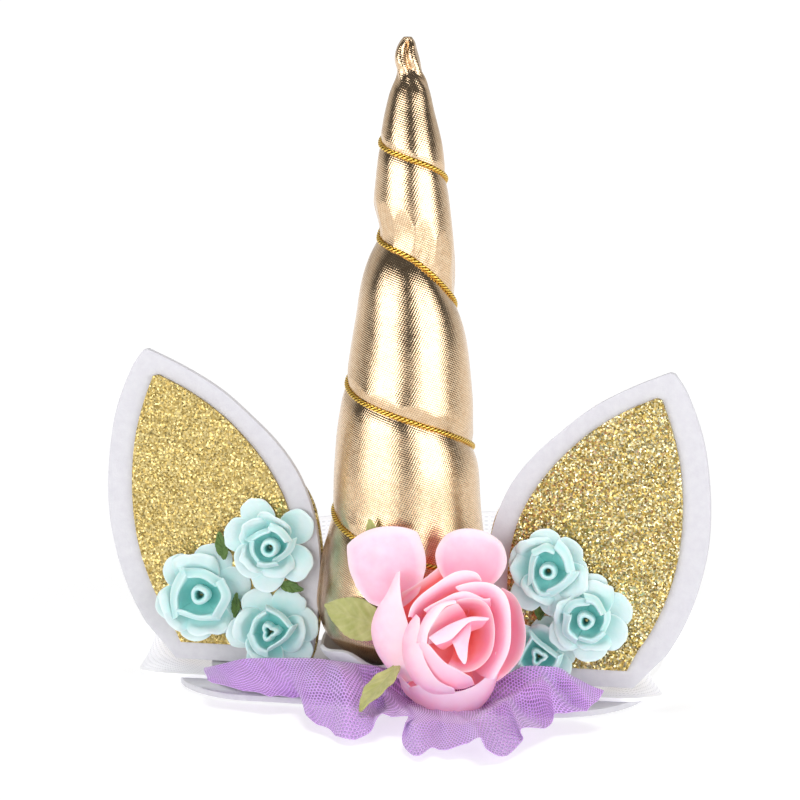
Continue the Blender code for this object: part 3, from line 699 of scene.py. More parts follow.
sheet_forward = EAR_FELT / 2 + GAP * 0.3 + EAR_SHEET / 2
backing_forward = -(EAR_FELT / 2 + GAP * 0.3 + EAR_BACKING / 2)
for side, front_finish in (("left", soft_glitter), ("right", glitter_painted_lit_copy)):
    felt = ear_layer(f"ear_felt_{side}", side, EAR_OUTLINE, EAR_FELT, 0, 0.45)
    settle(felt, white_felt, "white_felt", f"ear_felt_{side}")
    front = ear_layer(f"ear_glitter_{side}", side, GLITTER_OUTLINE, EAR_SHEET, sheet_forward, 0.12)
    settle(front, front_finish, "gold_glitter", f"ear_glitter_{side}")
    back = ear_layer(f"ear_backing_{side}", side, BACKING_OUTLINE, EAR_BACKING, backing_forward, 0.1)
    settle(back, soft_glitter, "gold_glitter", f"ear_backing_{side}")


# Tulle ruffle. A strip of stiff lilac net, gathered along its top and glued to the front of the base. Its hem
# falls in deep folds, flat under the pink rose and standing up on both sides of it.

RUFFLE_COLUMNS = 460
RUFFLE_ROWS = 44
RUFFLE_CUT = (0.125, 0.0225)
PINK_ROSE_AT = 14.1
RUFFLE_FOLDS = (
    # fold, and the places where the net passes at its header, on its crest, on its slope and at its hem
    (0, -40.5, -15.5, 5.4, -39.6, -18.9, 5.4, -38.5, -22.1, 5.4, -37.4, -24.9, 5),
    (1, -35.9, -17.9, 7.1, -34.2, -20.9, 6.2, -32.3, -23.7, 5.2, -30.5, -26.2, 4),
    (2, -31.2, -19, 8.7, -28.7, -22.5, 7.1, -26.3, -25.9, 5.2, -24.2, -28.9, 3.5),
    (3, -27.6, -19.1, 9.1, -25, -21.8, 7.3, -22.3, -24.4, 5.3, -19.8, -26.7, 3),
    (4, -24.6, -19.1, 9.3, -21.9, -22.1, 7.4, -19, -24.9, 5, -16.2, -27.3, 2.5),
    (5, -21.1, -19.1, 9.5, -17.7, -25.6, 6.9, -14.6, -31.8, 4.1, -12.1, -37.2, 2),
    (6, -17.4, -19.1, 9.7, -14.4, -27.4, 7.6, -11.1, -35.3, 3.9, -7.9, -42.3, 1),
    (7, -13.7, -19.1, 9.7, -10.4, -28.9, 8.1, -7, -38.2, 4.2, -3.9, -46.4, 0.6),
    (8, -10.2, -19.1, 9.4, -6.5, -29.8, 9.8, -3, -39.8, 6, -0.2, -48.7, 0.6),
    (9, -7.2, -19.1, 9.2, -3.5, -28.9, 7.7, -0.2, -38.3, 4.2, 2.4, -46.5, 1),
    (10, -5.1, -19.1, 9.1, -1.6, -28.2, 4.6, 1.5, -36.8, 3, 4.2, -44.4, 3.5),
    (11, -3.3, -19.1, 9, -0.1, -26.5, 3.4, 2.7, -33.5, 2.8, 5.4, -39.7, 4.5),
    (12, -1.6, -19.1, 8.8, 3.3, -27.4, 8.1, 7.3, -35.2, 8.1, 10.8, -42.1, 7.5),
    (13, 0.1, -19.1, 8.5, 5.9, -29.3, 7.4, 9.4, -39, 6, 10.6, -47.5, 3),
    (14, 2.3, -19.1, 8.2, 8, -31.1, 7.1, 10.6, -42.4, 3.8, 12.1, -52.3, 0.6),
    (15, 4.4, -19.1, 7.9, 10.6, -33.3, 7.4, 13.5, -46.7, 4, 15.8, -58.6, 0.6),
    (16, 7, -19.1, 7.6, 12.8, -31.5, 4.2, 15.4, -43.1, 2, 17.5, -53.4, 1),
    (17, 9.6, -19.1, 7.3, 15.2, -32, 5.2, 18.7, -44.1, 3, 21.5, -54.8, 1.2),
    (18, 11.7, -19.1, 7.2, 17.2, -31.5, 4.4, 21.2, -43.2, 3.4, 24.7, -53.6, 2.5),
    (19, 13, -19.1, 7.1, 18.9, -33.5, 5.4, 23.7, -47.2, 5.4, 28.3, -59.2, 5),
    (20, 14.3, -19.1, 7.1, 19.6, -32.8, 4.8, 24.8, -45.7, 4.2, 29.9, -57.1, 2.5),
    (21, 16.4, -19.1, 7.3, 22.5, -31.9, 6.1, 28, -44, 3.5, 32.6, -54.7, 0.6),
    (22, 19, -19.1, 7.6, 24.9, -29, 5.9, 29.9, -38.4, 3.5, 34.3, -46.7, 1.5),
    (23, 21.5, -19.1, 8.2, 27.1, -28.7, 7.2, 31.2, -37.8, 5.5, 34.7, -45.8, 4),
    (24, 24.1, -19.1, 9, 29.3, -25.1, 4.9, 33.8, -30.7, 2.2, 37.5, -35.7, 2),
    (25, 27, -19.1, 10, 31.3, -23.8, 7.9, 35.2, -28.2, 5.4, 38.2, -32.1, 3),
    (26, 30.4, -19.1, 10.6, 34, -23.6, 9.8, 37.2, -27.8, 8.2, 39.6, -31.5, 4),
    (27, 34, -18.9, 10.7, 37.2, -22.8, 7, 40.5, -26.5, 4.6, 43.6, -29.8, 4),
    (28, 37, -18.2, 10.3, 39.9, -21.5, 8.7, 43, -24.6, 6.9, 45.9, -27.4, 5),
    (29, 39.4, -17.3, 8.5, 42.1, -19.8, 8, 44.7, -22.1, 7.4, 46.9, -24.1, 7),
)


def through(levels, share):
    """Places on smooth lines through these levels of places, at shares from 0 at the first to 1 at the last
    of them."""
    levels = np.array(levels)
    slopes = np.gradient(levels, axis=0)
    last, point = len(levels) - 1, np.arange(len(share))
    i = np.clip((share * last).astype(int), 0, last - 1)
    f = (share * last - i)[:, None]
    places = (2 * f**3 - 3 * f**2 + 1) * levels[i, point] + (f**3 - 2 * f**2 + f) * slopes[i, point]
    return places + (3 * f**2 - 2 * f**3) * levels[i + 1, point] + (f**3 - f**2) * slopes[i + 1, point]


tulle, s, t = grid("ruffle_net", RUFFLE_COLUMNS, RUFFLE_ROWS)
along, out = (s + 1) / 2, (t + 1) / 2
row = along * (len(RUFFLE_FOLDS) - 1)
levels = [
    np.column_stack([between(RUFFLE_FOLDS, level + axis, row) for axis in range(3)])
    for level in (1, 4, 7, 10)
]
places = through(levels, out)
gather = np.sin(23 * TURN * along + 1.2 * np.sin(9 * along)) * (1 - out) ** 0.7 * np.minimum(1, out * 5)
places += np.column_stack((np.zeros(len(row)), -0.2 * gather, 0.35 * gather))
flutter = np.sin(11 * TURN * along + 2.5 * out + 3 * np.sin(6 * along)) * out**1.5
places += np.column_stack((0.35 * flutter, 0.5 * flutter, 0.4 * np.abs(flutter)))
beside_rose = np.maximum(0, np.abs(places[:, 0] - PINK_ROSE_AT) - 8)
under_rose = 0.9 + 0.16 * np.maximum(0, -26 - places[:, 1]) + 0.7 * beside_rose
under_rose += 1.6 * np.maximum(0, places[:, 1] + 22)
places[:, 2] -= 0.78 * np.maximum(0, places[:, 2] - under_rose)
places[:, 2] = np.maximum(places[:, 2], 0.3 + 0.2 * out)
move_points(tulle, places)
lay_pattern(tulle, along * RUFFLE_CUT[0] * 1000, out * RUFFLE_CUT[1] * 1000)
give_wall(tulle, 0.12)

HOLE_PITCH = 0.85
net, start, end = shader_group("tulle_net", ("Vector", "Pitch"), ("Thread",))
scale = maths(net, "DIVIDE", 1.0, start[1])
cell = node(net, "VectorMath", {0: start[0], "Scale": scale}, operation="SCALE").outputs[0]
nearest = []
for shift in ((0.0, 0.0, 0.0), (0.5, 0.866, 0.0)):
    moved = node(net, "VectorMath", {0: cell, 1: shift}, operation="ADD").outputs[0]
    whole = node(net, "VectorMath", {0: moved, 1: (1.0, 1.732, 1.0)}, operation="MODULO").outputs[0]
    middle = node(net, "VectorMath", {0: whole, 1: (-0.5, -0.866, 0.0)}, operation="ADD").outputs[0]
    nearest.append(node(net, "VectorMath", {0: middle}, operation="LENGTH").outputs["Value"])
away = maths(net, "MINIMUM", nearest[0], nearest[1])
net.links.new(node(net, "MapRange", {0: away, 1: 0.30, 2: 0.42, 3: 0.0, 4: 1.0}).outputs[0], end[0])

lilac_tulle, tree, shader = finish_of("lilac_tulle", Roughness=0.6, Sheen_Weight=0.5)
thread = node(tree, "Group", {0: own_pattern(tree), 1: HOLE_PITCH}, node_tree=net).outputs[0]
# The holes get a dark purple: painted shade, standing in for the shadowed folds of net seen through them.
colour = ramp(tree, thread, ((0.0, (0.36, 0.13, 0.56)), (1.0, (0.66, 0.38, 0.83))))
feed(tree, shader, Base_Color=colour, Alpha=maths(tree, "MULTIPLY_ADD", thread, 0.6, 0.4))
settle(tulle, lilac_tulle, "lilac_tulle", "tulle_ruffle", angle=180)


# Small roses. Six little roses of teal mulberry paper, three on the lower inner corner of each ear: a rolled
# heart in a cup of folded petals, with flat round petals laid out behind it.

EAR_FRONT = {side: EARS[side][2][1] - EAR_FELT / 2 - GAP - EAR_SHEET for side in EARS}


def frame_facing(place, facing):
    """The matrix of a frame at this place whose +Z looks the way that facing points."""
    turn = Vector(facing).to_track_quat("Z", "Y")
    return Matrix.Translation(place) @ turn.to_matrix().to_4x4()


def placed(piece, matrix):
    turned = points_of(piece) @ np.array(matrix.to_3x3()).T + np.array(matrix.translation)
    move_points(piece, turned)


ROUND_CELLS = 14


def petal(turn, base, belly, rim, width, roll, curl, lap, point, tone, seed, crumple):
    """A round cut petal round a flower's axis. base, belly and rim are (reach, height) of its bent midline,
    roll the radius that it is rolled to across, curl how far its edge turns out, lap how far one side stands
    out past the other, and point how far its tip is drawn to a point. tone is how pale it is at its foot,
    where its deeper colour is partly dye and partly painted shade."""
    sheet, s, t = grid("petal", ROUND_CELLS, ROUND_CELLS)
    x, y = s * np.sqrt(1 - 0.42 * t * t), t * np.sqrt(1 - 0.42 * s * s)
    share = (y + 1) / 2
    edge = np.maximum(np.abs(s), np.abs(t))
    half = width / 2 * (0.5 + 0.5 * np.sin(np.minimum(1, share * 1.4) * math.pi / 2))
    side = x * half
    tip = share + point * np.clip(1 - np.abs(x) / 0.5, 0, 1) * share**3
    reach, height = (
        (1 - tip) ** 2 * start + 2 * tip * (1 - tip) * middle + tip**2 * last
        for start, middle, last in zip(base, belly, rim)
    )
    bent = np.clip((edge - 0.55) / 0.45, 0, 1) ** 2 * np.clip(share * 2 - 0.6, 0, 1)
    reach += lap * x + bent * curl
    height -= bent * abs(curl) * 0.5
    draw = np.random.default_rng(seed)
    for _ in range(2):
        at, deep = draw.uniform(-0.8, 0.8), draw.uniform(-0.5, 0.5) * width * crumple * 2
        reach += deep * np.exp(-(((x - at) / 0.22) ** 2)) * np.clip(share * 2 - 0.8, 0, 1)
    radial = reach - roll * (1 - np.cos(side / roll))
    across = roll * np.sin(side / roll)
    cos, sin = math.cos(turn), math.sin(turn)
    places = np.column_stack((radial * cos - across * sin, radial * sin + across * cos, height))
    size = width * crumple * np.clip(edge - 0.2, 0, 1)
    for axis in range(3):
        places[:, axis] += size * smooth_noise(places + seed * 17.3, width * 0.6, seed + axis)
    move_points(sheet, places)
    lay_pattern(sheet, edge, tone + (1 - tone) * share)
    return sheet


def loft(rows, tones, columns, cells, seed, crumple):
    """A petal drawn smoothly through rows of places, each row with its height, from the foot to the rim.
    tones are how pale the petal is at each row; the deeper rows low down are partly painted shade."""
    sheet, s, t = grid("petal", columns, cells)
    u, v = (s + 1) / 2, (t + 1) / 2
    levels = []
    for height, *places in rows:
        table = [(i / (len(places) - 1), x, y) for i, (x, y) in enumerate(places)]
        levels.append(np.column_stack((between(table, 1, u), between(table, 2, u), np.full(len(u), height))))
    places = through(levels, v)
    loose = crumple * np.clip(v * 1.5, 0, 1)
    for axis in range(3):
        places[:, axis] += loose * smooth_noise(places + seed * 17.3, 5.0, seed + axis)
    move_points(sheet, places)
    lay_pattern(sheet, v, np.interp(v * (len(rows) - 1), np.arange(len(rows)), tones))
    return sheet


def joined(name, sheets, wall):
    """Joins petals into one flower and gives them their thickness."""
    deselect()
    for sheet in sheets:
        sheet.select_set(True)
    bpy.context.view_layer.objects.active = sheets[0]
    bpy.ops.object.join()
    flower = bpy.context.object
    flower.name = name
    flower.data.name = name
    give_wall(flower, wall, smooth=1)
    return flower


petal_shading, start, end = shader_group("petal_shading", ("Vector",), ("Edge", "Along", "Crumple"))
place = object_place(petal_shading)
cloud = node(petal_shading, "TexNoise", {0: place, "Scale": 320.0, "Detail": 3.0}).outputs[0]
fibres = node(petal_shading, "TexNoise", {0: place, "Scale": 1700.0, "Detail": 5.0, "Roughness": 0.65})
cut = node(petal_shading, "SeparateXYZ", {0: start[0]}).outputs
cloudy = maths(petal_shading, "MULTIPLY", maths(petal_shading, "SUBTRACT", cloud, 0.5), 0.3)
petal_shading.links.new(cut[0], end[0])
petal_shading.links.new(maths(petal_shading, "ADD", cut[1], cloudy), end[1])
petal_shading.links.new(maths(petal_shading, "MULTIPLY_ADD", cloud, 1.5, fibres.outputs[0]), end[2])


def petal_finish(name, stops, rim, rim_from, crumple_height, roughness, sheen, glow, painted_glow):
    """Dyed paper or silk: deep at a petal's foot, pale at its rim, with a paler cut edge. The deep foot is
    partly dye and partly painted shade of the flower's hollows, and the petal glows faintly in its own
    colour, painted light standing in for light shining through it.
    """
    material, tree, shader = finish_of(
        name, Roughness=roughness, Sheen_Weight=sheen, Subsurface_Weight=glow, Subsurface_Scale=0.001,
        Specular_IOR_Level=0.2, Emission_Strength=painted_glow
    )
    shading = node(tree, "Group", {0: own_pattern(tree)}, node_tree=petal_shading).outputs
    cut = node(tree, "MapRange", {0: shading[0], 1: rim_from, 2: 1.0, 3: 0.0, 4: 1.0}).outputs[0]
    # The colour deepens towards the foot, partly dye and partly painted shade; the same colour feeds the
    # emission, a painted glow.
    dye_and_painted_shade = blend_colours(tree, cut, ramp(tree, shading[1], stops), (*rim, 1))
    normal = bumped(tree, shading[2], 0.4, crumple_height)
    feed(tree, shader, Base_Color=dye_and_painted_shade, Emission_Color=dye_and_painted_shade, Normal=normal)
    return material


# Teal from deep at a petal's foot to pale at its rim: the deep teal is mostly painted shade of the cup's and
# heart's hollows. The petals also glow faintly in their own colour, painted light.
TEAL_STOPS = (
    (0.0, (0.03, 0.28, 0.25)), (0.3, (0.16, 0.56, 0.52)), (0.6, (0.35, 0.70, 0.68)),
    (0.95, (0.63, 0.77, 0.77)),
)
teal_paper = petal_finish("teal_paper", TEAL_STOPS, (0.72, 0.85, 0.85), 0.88, 0.00014, 0.85, 0.3, 0.1, 0.06)

TEAL_FACING = (0.14, -1.0, 0.12)
TEAL_ROSES = (
    # name, side, x and height on the ear, size, the turns and reaches of the flat petals, the cup's petals,
    # turn and reach, and the heart's shape
    ("left_top", "left", -28.4, 31.0, 1.0,
     ((34, 10.2), (112, 9.8), (163, 9.6), (222, 8.2), (268, 9.8), (326, 10.0)), 4, 20, 4.3, 0.0),
    ("left_outer", "left", -43.6, 19.2, 1.06,
     ((72, 10.6), (20, 10.2), (130, 9.4), (196, 8.8), (262, 8.8), (318, 9.4)), 3, 48, 5.4, 0.1),
    ("left_low", "left", -28.0, 12.4, 0.98,
     ((58, 10.2), (118, 9.2), (186, 9.4), (254, 9.6), (318, 10.4), (12, 10.0)), 3, 100, 4.9, 0.35),
    ("right_top", "right", 32.9, 29.6, 0.94,
     ((96, 8.4), (40, 8.2), (160, 8.8), (232, 10.4), (284, 10.2), (350, 8.6)), 4, 65, 5.0, 0.0),
    ("right_outer", "right", 41.6, 19.2, 0.96,
     ((88, 9.6), (20, 9.4), (150, 9.2), (212, 9.0), (274, 8.6), (330, 8.8)), 4, 30, 4.6, 0.1),
    ("right_low", "right", 31.0, 11.2, 0.84,
     ((75, 9.2), (10, 9.0), (140, 8.6), (205, 9.0), (270, 8.8), (325, 8.8)), 3, 10, 4.9, 0.3),
)
HEART_TUBE = (
    # height, reach, and how pale it is, up the inside of the rolled heart and down its outside; the deep
    # colour low inside it is painted shade of the hollow
    (1.2, 0.5, 0.0), (4.6, 0.95, 0.15), (5.6, 1.2, 0.8), (5.3, 1.7, 0.85), (1.2, 1.9, 0.4),
)
HEART_POINTS = 12


def at_turn(reach, turn):
    """The place at this reach and turn round a flower's axis."""
    return reach * math.cos(turn), reach * math.sin(turn)


for number, rose_row in enumerate(TEAL_ROSES):
    name, side, x, height, size, flat_petals, folded, folded_turn, cup, corners = rose_row
    draw = np.random.default_rng(number + 11)
    sheets = []
    for turn, reach in flat_petals:
        low = draw.uniform(0.3, 1.1)
        wide = draw.uniform(7.6, 8.6)
        sheets.append(petal(
            math.radians(turn), (reach - 7.9, 0.2), (reach - 4.0, low * 0.5), (reach, low + 0.8), wide,
            18.0, 0.5, draw.uniform(-0.3, 0.3), 0.0, 0.6, number * 30 + len(sheets), 0.04
        ))
    sides = folded + 1
    for i in range(folded):
        turn = math.radians(folded_turn + 180 / folded + i * 360 / sides) + draw.uniform(-0.25, 0.25)
        rim = (cup * draw.uniform(1.2, 1.45), draw.uniform(2.6, 4.4))
        sheets.append(petal(
            turn, (0.7, 0.5), (cup * 1.35, 0.5), rim, cup * 2.0, cup * 1.3, draw.uniform(0.8, 2.2),
            0.6, draw.uniform(0, 0.2), 0.36, number * 30 + len(sheets), 0.06
        ))
    corners_at = [
        (cup * draw.uniform(0.80, 1.05), math.radians(folded_turn + i * 360 / sides + draw.uniform(-14, 14)))
        for i in range(sides)
    ]
    for i in range(sides):
        (near, from_turn), (far, to_turn) = corners_at[i], corners_at[(i + 1) % sides]
        near_end, far_end = at_turn(near * 0.93, from_turn - 0.08), at_turn(far * 1.05, to_turn + 0.05)
        bow = draw.uniform(1.12, 1.42)
        middle = ((near_end[0] + far_end[0]) / 2 * bow, (near_end[1] + far_end[1]) / 2 * bow)
        top, drop, flap = draw.uniform(3.8, 5.4), draw.uniform(0.8, 2.2), draw.uniform(1.14, 1.42)
        folds = (
            # height, how far out, and how pale, from the foot up and over the rim; the deep colour low down
            # is mostly painted shade of the cup
            (0.5, 0.2, 0.25), (1.6, 0.9, 0.50), (top - 0.8, 0.93, 0.68),
            (top, 0.97, 0.86), (top - 0.2, 1.06, 0.84), (top - drop, flap, 0.62),
        )
        line = (near_end, middle, far_end)
        rows = [(high, *((x * out, y * out) for x, y in line)) for high, out, _ in folds]
        sheets.append(loft(rows, [tone for *_, tone in folds], 10, 15, number * 30 + i, 0.55))
    lean = (draw.uniform(-0.5, 0.5), draw.uniform(-0.5, 0.5))
    shares = [i / HEART_POINTS for i in range(HEART_POINTS + 1)]
    heart = []
    for high, reach, _ in HEART_TUBE:
        bulged = [reach * (1 + corners * math.cos(3 * share * TURN)) for share in shares]
        ring = [at_turn(far, share * 1.03 * TURN) for far, share in zip(bulged, shares)]
        heart.append((high, *((x + lean[0], y + lean[1]) for x, y in ring)))
    sheets.append(loft(heart, [tone for *_, tone in HEART_TUBE], 28, 12, number, 0.25))
    rose = joined(f"rose_{name}_petals", sheets, 0.28)
    placed(rose, frame_facing((x, EAR_FRONT[side] - GAP, height), TEAL_FACING) @ Matrix.Scale(size, 4))
    settle(rose, teal_paper, "teal_paper", f"rose_{name}")


# Pink rose. A big rose of pressed pink silk, its petals cut, dyed coral at the foot and cupped over a hot
# iron, glued on a stem in rings round a pointed bud. Two wide petals stand up behind its head. The deep
# coral at each petal's foot is partly that dye and partly painted shade of the rose's hollows, and the silk
# glows faintly, painted light standing in for light shining through it.

PINK_FACING = (0.14, -0.97, 0.08)
PINK_STEM = (PINK_ROSE_AT, -12.1, 17.2)
# Coral at a petal's foot to pale pink at its rim: the deep coral is partly dye and partly painted shade.
PINK_STOPS = (
    (0.02, (0.95, 0.13, 0.08)), (0.28, (0.96, 0.32, 0.33)), (0.55, (0.95, 0.38, 0.52)),
    (0.78, (0.95, 0.50, 0.63)), (0.98, (0.94, 0.66, 0.77)),
)
pink_silk = petal_finish("pink_silk", PINK_STOPS, (0.98, 0.74, 0.80), 0.74, 0.00003, 0.6, 0.25, 0.3, 0.1)
PINK_PETALS = {
    # piece: petals, each of how pale its rows are, and of the rows themselves from foot to rim: a height and
    # then the places that the row passes, x and y by turns
    "pink_rose_outer": (
        ((0, 0.12, 0.3),
         (6, -11, 1.4, -8.9, 4, -6, 6.6, -3.1, 8.3, -0.2, 10),
         (8.5, -11.6, 7.6, -9.4, 8.9, -6.7, 10.7, -4, 12.8, -2.1, 14.9)),
        ((0.1, 0.55, 0.8),
         (8.5, 7.5, 6.3, 9.2, 4.9, 10.3, 2.8, 10.7, 0.1, 10.5, -2.6, 9.7, -5.2, 8.3, -7.3, 6.4, -9.2),
         (12.5, 9.6, 9.6, 12.1, 8, 13.8, 5.6, 14.7, 2.4, 14.9, -1.3, 13.9, -4.9, 11.8, -7.6, 8.7, -10.2)),
        ((0.4, 0.5, 0.78, 0.95, 0.95),
         (5, -11.1, 7.6, -12.8, 4.4, -14.4, 1.2, -14.8, -2, -14, -5.1, -12.3, -7.6, -9.7, -9.9),
         (9, -12.1, 11.7, -14.3, 7, -17, 2.8, -17.6, -0.8, -16.5, -4.8, -14.2, -8.1, -11.1, -10.8),
         (12, -11.7, 12.5, -13.2, 8.5, -14.9, 5.4, -15.3, 0.5, -14.2, -4, -12.1, -7.8, -9.6, -10.7),
         (14, -11.3, 13, -11.1, 9.9, -10.6, 6.1, -9.5, 2.2, -8.6, -2, -8, -6.1, -7.1, -9.9)),
        ((0.4, 0.5, 0.75, 0.9),
         (6.5, -10, -11.8, -9, -13.2, -7.1, -15.1, -5, -16.5, -2.4, -17.5, 0.5, -17.5),
         (10.5, -11.4, -10.7, -10.5, -12.4, -8.4, -14, -5.9, -16.3, -3, -17.8, 0.8, -18),
         (13.5, -11.1, -9.4, -9.4, -11, -6.9, -12.9, -4.6, -14.9, -2.5, -16.4, 0.4, -17)),
        ((0.4, 0.6, 0.72, 0.95),
         (8, -9.1, -11.7, -6.3, -14.4, -2.7, -16.2, 0.6, -16.6, 3.5, -15.5, 5.8, -13.1, 7.2, -10.5, 8, -8),
         (13, -9.5, -11.7, -6.5, -14.6, -2.8, -16.6, 0.9, -17, 4.5, -15.8, 7.1, -13.1, 8.6, -10.1, 9.2,
          -7.2),
         (16.5, -6.3, -10.3, -4.2, -11.1, -1.5, -11.5, 1.6, -11.4, 4.9, -10.2, 7.3, -8.1, 8.7, -5.4, 9,
          -2.9)),
        ((0, 0.12, 0.82, 0.98),
         (9.5, -6.9, 1.6, -5.3, 3.5, -3.2, 5.2, -1.4, 6.5, 0.3, 7.2, 2.2, 7.6, 3.8, 7.7, 5.1, 7.3, 6.1,
          6.9),
         (15.4, -8.8, 3.3, -7.1, 5.4, -5.1, 7.3, -2.8, 9, -0.8, 10.1, 1.3, 10.7, 3.2, 11.1, 4.6, 11, 5.6,
          10.6),
         (16.6, -9.3, 3.4, -8.7, 5.7, -7, 7.8, -4.6, 9.9, -1.7, 12.1, 0.8, 13.3, 3, 13.5, 4.9, 12.9, 5.7,
          11.4)),
    ),
    "pink_rose_inner": (
        ((0.1, 0.45, 0.72, 0.9),
         (12.5, 2.8, 4.3, 4.3, 5.6, 5.7, 5.6, 6.7, 4.6, 7.2, 2.5, 7.2, 0, 6.8, -2.5, 6, -4.6, 4.8, -6.1,
          3.9, -7.2),
         (17, 1.9, 8.3, 3.9, 9.1, 6.4, 9.6, 8.4, 8.6, 9.7, 6.3, 10.1, 3, 10, -0.7, 9.2, -4.1, 7.7, -7, 6.7,
          -8.7),
         (17.8, 0.4, 10.2, 2.7, 11.1, 5.6, 11.5, 8.5, 11, 10.7, 9.1, 11.8, 6.1, 12, 2.6, 11.8, -1.6, 10.7,
          -5.3, 8.8, -8.9)),
        ((0.1, 0.55, 0.78, 0.98),
         (12.5, -7.3, 3.3, -9, -0.1, -9.4, -3.9, -8.7, -7.2, -6.6, -9.9, -3.7, -11.7, 0.3, -12),
         (16.2, -7.5, 4.2, -9.5, 0.9, -10, -3.3, -9.2, -7, -7.2, -10.1, -3.8, -12, 0.5, -12.1),
         (19.4, -6.6, 4.1, -6.4, 1, -6.2, -1.7, -5.7, -4.2, -4.4, -6.8, -2.4, -9.3, 0.7, -10.6)),
        ((0.05, 0.25, 0.85, 1),
         (13, -4.2, 2.2, -2.1, 3.9, -0.3, 4.9, 1.6, 5.4, 3.3, 5.4, 4.7, 5, 5.9, 4.6, 7, 4.9),
         (18.2, -5.4, 4.6, -3.2, 6, -0.5, 7.3, 1.5, 7.7, 3.6, 7.7, 5.2, 7.4, 6.7, 7.3, 7.7, 7.5),
         (18.9, -6, 5.3, -4, 6.8, -1.1, 8.5, 1.1, 9.4, 3.2, 9.6, 5.1, 8.8, 6.5, 8, 7.7, 8.2)),
        ((0.1, 0.42, 0.6, 0.85),
         (13, -6.8, -3.3, -6.2, -5.6, -4.7, -7.9, -2.6, -9.5, -0.4, -10.1, 1.9, -10, 4.2, -9.4),
         (17.4, -6.9, -2.4, -6.5, -5.1, -5, -7.8, -2.7, -9.6, 0, -10.4, 2.2, -10.4, 4.5, -9.7),
         (20.9, -6.2, -0.6, -4.8, -1.2, -3.5, -2.5, -2.3, -3.9, -0.9, -5.3, 1.2, -6.3, 4.1, -7.9)),
    ),
    "pink_rose_bud": (
        ((0, 0.2, 0.55, 0.95),
         (11.5, 0.5, 3.3, 1.9, 4.1, 3.2, 4.2, 4.2, 2.9, 4.6, 0.4, 4.5, -2.1, 3.6, -4, 2.4, -5.3, 1, -5.5,
          -0.5, -4.9),
         (15.8, 0.3, 6, 3, 6.4, 5.5, 5.9, 6.7, 4.2, 7.3, 1.3, 7, -2, 5.8, -4.3, 3.9, -5.8, 1.5, -6.3, -0.6,
          -5.3),
         (20.6, 0.7, 7.9, 3.7, 8.4, 6.6, 7.6, 8.1, 5.6, 9, 2.3, 8.7, -1.8, 7.3, -4.6, 4.9, -6.5, 1.8, -6.9,
          -0.9, -5.6)),
        ((0.05, 0.3, 0.5, 0.6),
         (12.5, 2.8, 2.2, 1.2, 1.4, -0.5, 0.1, -1.9, -1.4, -2.7, -2.9),
         (16.5, 2.5, 4.3, 0.6, 3.4, -1.2, 2.1, -2.9, 0.2, -3.7, -1.7),
         (20.2, 1.3, 7.3, -1.2, 6.4, -3.2, 3.6, -4.6, 1.1, -5, -1.6)),
        ((0.2, 0.6, 0.9, 1),
         (15, -0.3, 6.3, -3.4, 5.2, -5.5, 3.1, -6.7, 0.5, -7.1, -2),
         (20.4, 0.7, 7.9, -2.4, 7.1, -4.5, 5.1, -5.9, 2.2, -6.5, -0.9),
         (21.6, 1.1, 7.4, -1.1, 6.6, -3.1, 3.9, -4.5, 1.4, -4.9, -1.1)),
        ((0.1, 0.35, 0.8, 0.95),
         (16, -2, -3.2, -0.2, -1.9, 2.1, -0.2, 3.9, 0.9, 5.5, 1.5),
         (22.3, -4.5, 0.4, -2, 2.1, 0.8, 3.6, 4.1, 4.6, 7.6, 4.5),
         (22.9, -3, -1.1, -0.1, 0, 2.1, 2.1, 4.1, 3.8, 7.6, 4.1)),
    ),
}
PINK_TONGUE = (
    (21.8, 0, -0.4, 1.2, 0.9, 2.4, 2.3, 3.9, 3.6),
    (23.6, 0.7, -1.1, 2, -0.1, 3.2, 1, 4.2, 2),
    (24.2, 1.6, -3.1, 2.4, -2.2, 3.2, -1.4, 3.7, -0.4),
    (24, 2.6, -4.6, 2.8, -4.8, 3.1, -4.8, 3.4, -4.1),
)
FLOOR_CLEAR = 0.5
FLOOR_BEND = 1.2


def paired(row):
    """A row's height and its places, from numbers that hold their x and y by turns."""
    height, *flat = row
    return (height, *zip(flat[::2], flat[1::2]))


matrix = frame_facing(PINK_STEM, PINK_FACING)
for name, petals in PINK_PETALS.items():
    sheets = []
    for tones, *flat_rows in petals:
        rows = [paired(row) for row in flat_rows]
        first = rows[0][len(rows[0]) // 2]
        aside = 0.5 / max(1, math.hypot(*first))
        foot = (2.2, *((aside * (0.3 * x + first[0]), aside * (0.3 * y + first[1])) for x, y in rows[0][1:]))
        sheets.append(loft((foot, *rows), tones, 20, 16, 300 + len(name) * 7 + len(sheets) * 3, 0.16))
    if name == "pink_rose_bud":
        sheets.append(loft([paired(row) for row in PINK_TONGUE], (0.6, 0.85, 0.92, 1.0), 8, 16, 5, 0.1))
    rose = joined(f"{name}_petals", sheets, 0.22)
    placed(rose, matrix)
    places = points_of(rose)
    height, soft = places[:, 2], FLOOR_BEND - FLOOR_CLEAR
    pressed = FLOOR_CLEAR + soft * np.exp((height - FLOOR_BEND) / soft)
    places[:, 2] = np.where(height < FLOOR_BEND, pressed, height)
    move_points(rose, places)
    settle(rose, pink_silk, "pink_silk", name)

BACK_PETALS = (
    # name, base, tip, width, how far its middle bulges outwards, the way it faces, how round it is, and tone
    ("pink_petal_left", (2.6, -20.4, 21.4), (-1.4, -19.6, 38.6), 17.0, 0.8, (-0.03, -1.0, 0.06), 0.3, 0.72),
    ("pink_petal_right", (17.0, -18.9, 24.7), (19.2, -19.2, 39.0), 15.2, 0.9, (0.20, -1.0, 0.10), 0.9, 0.45),
)


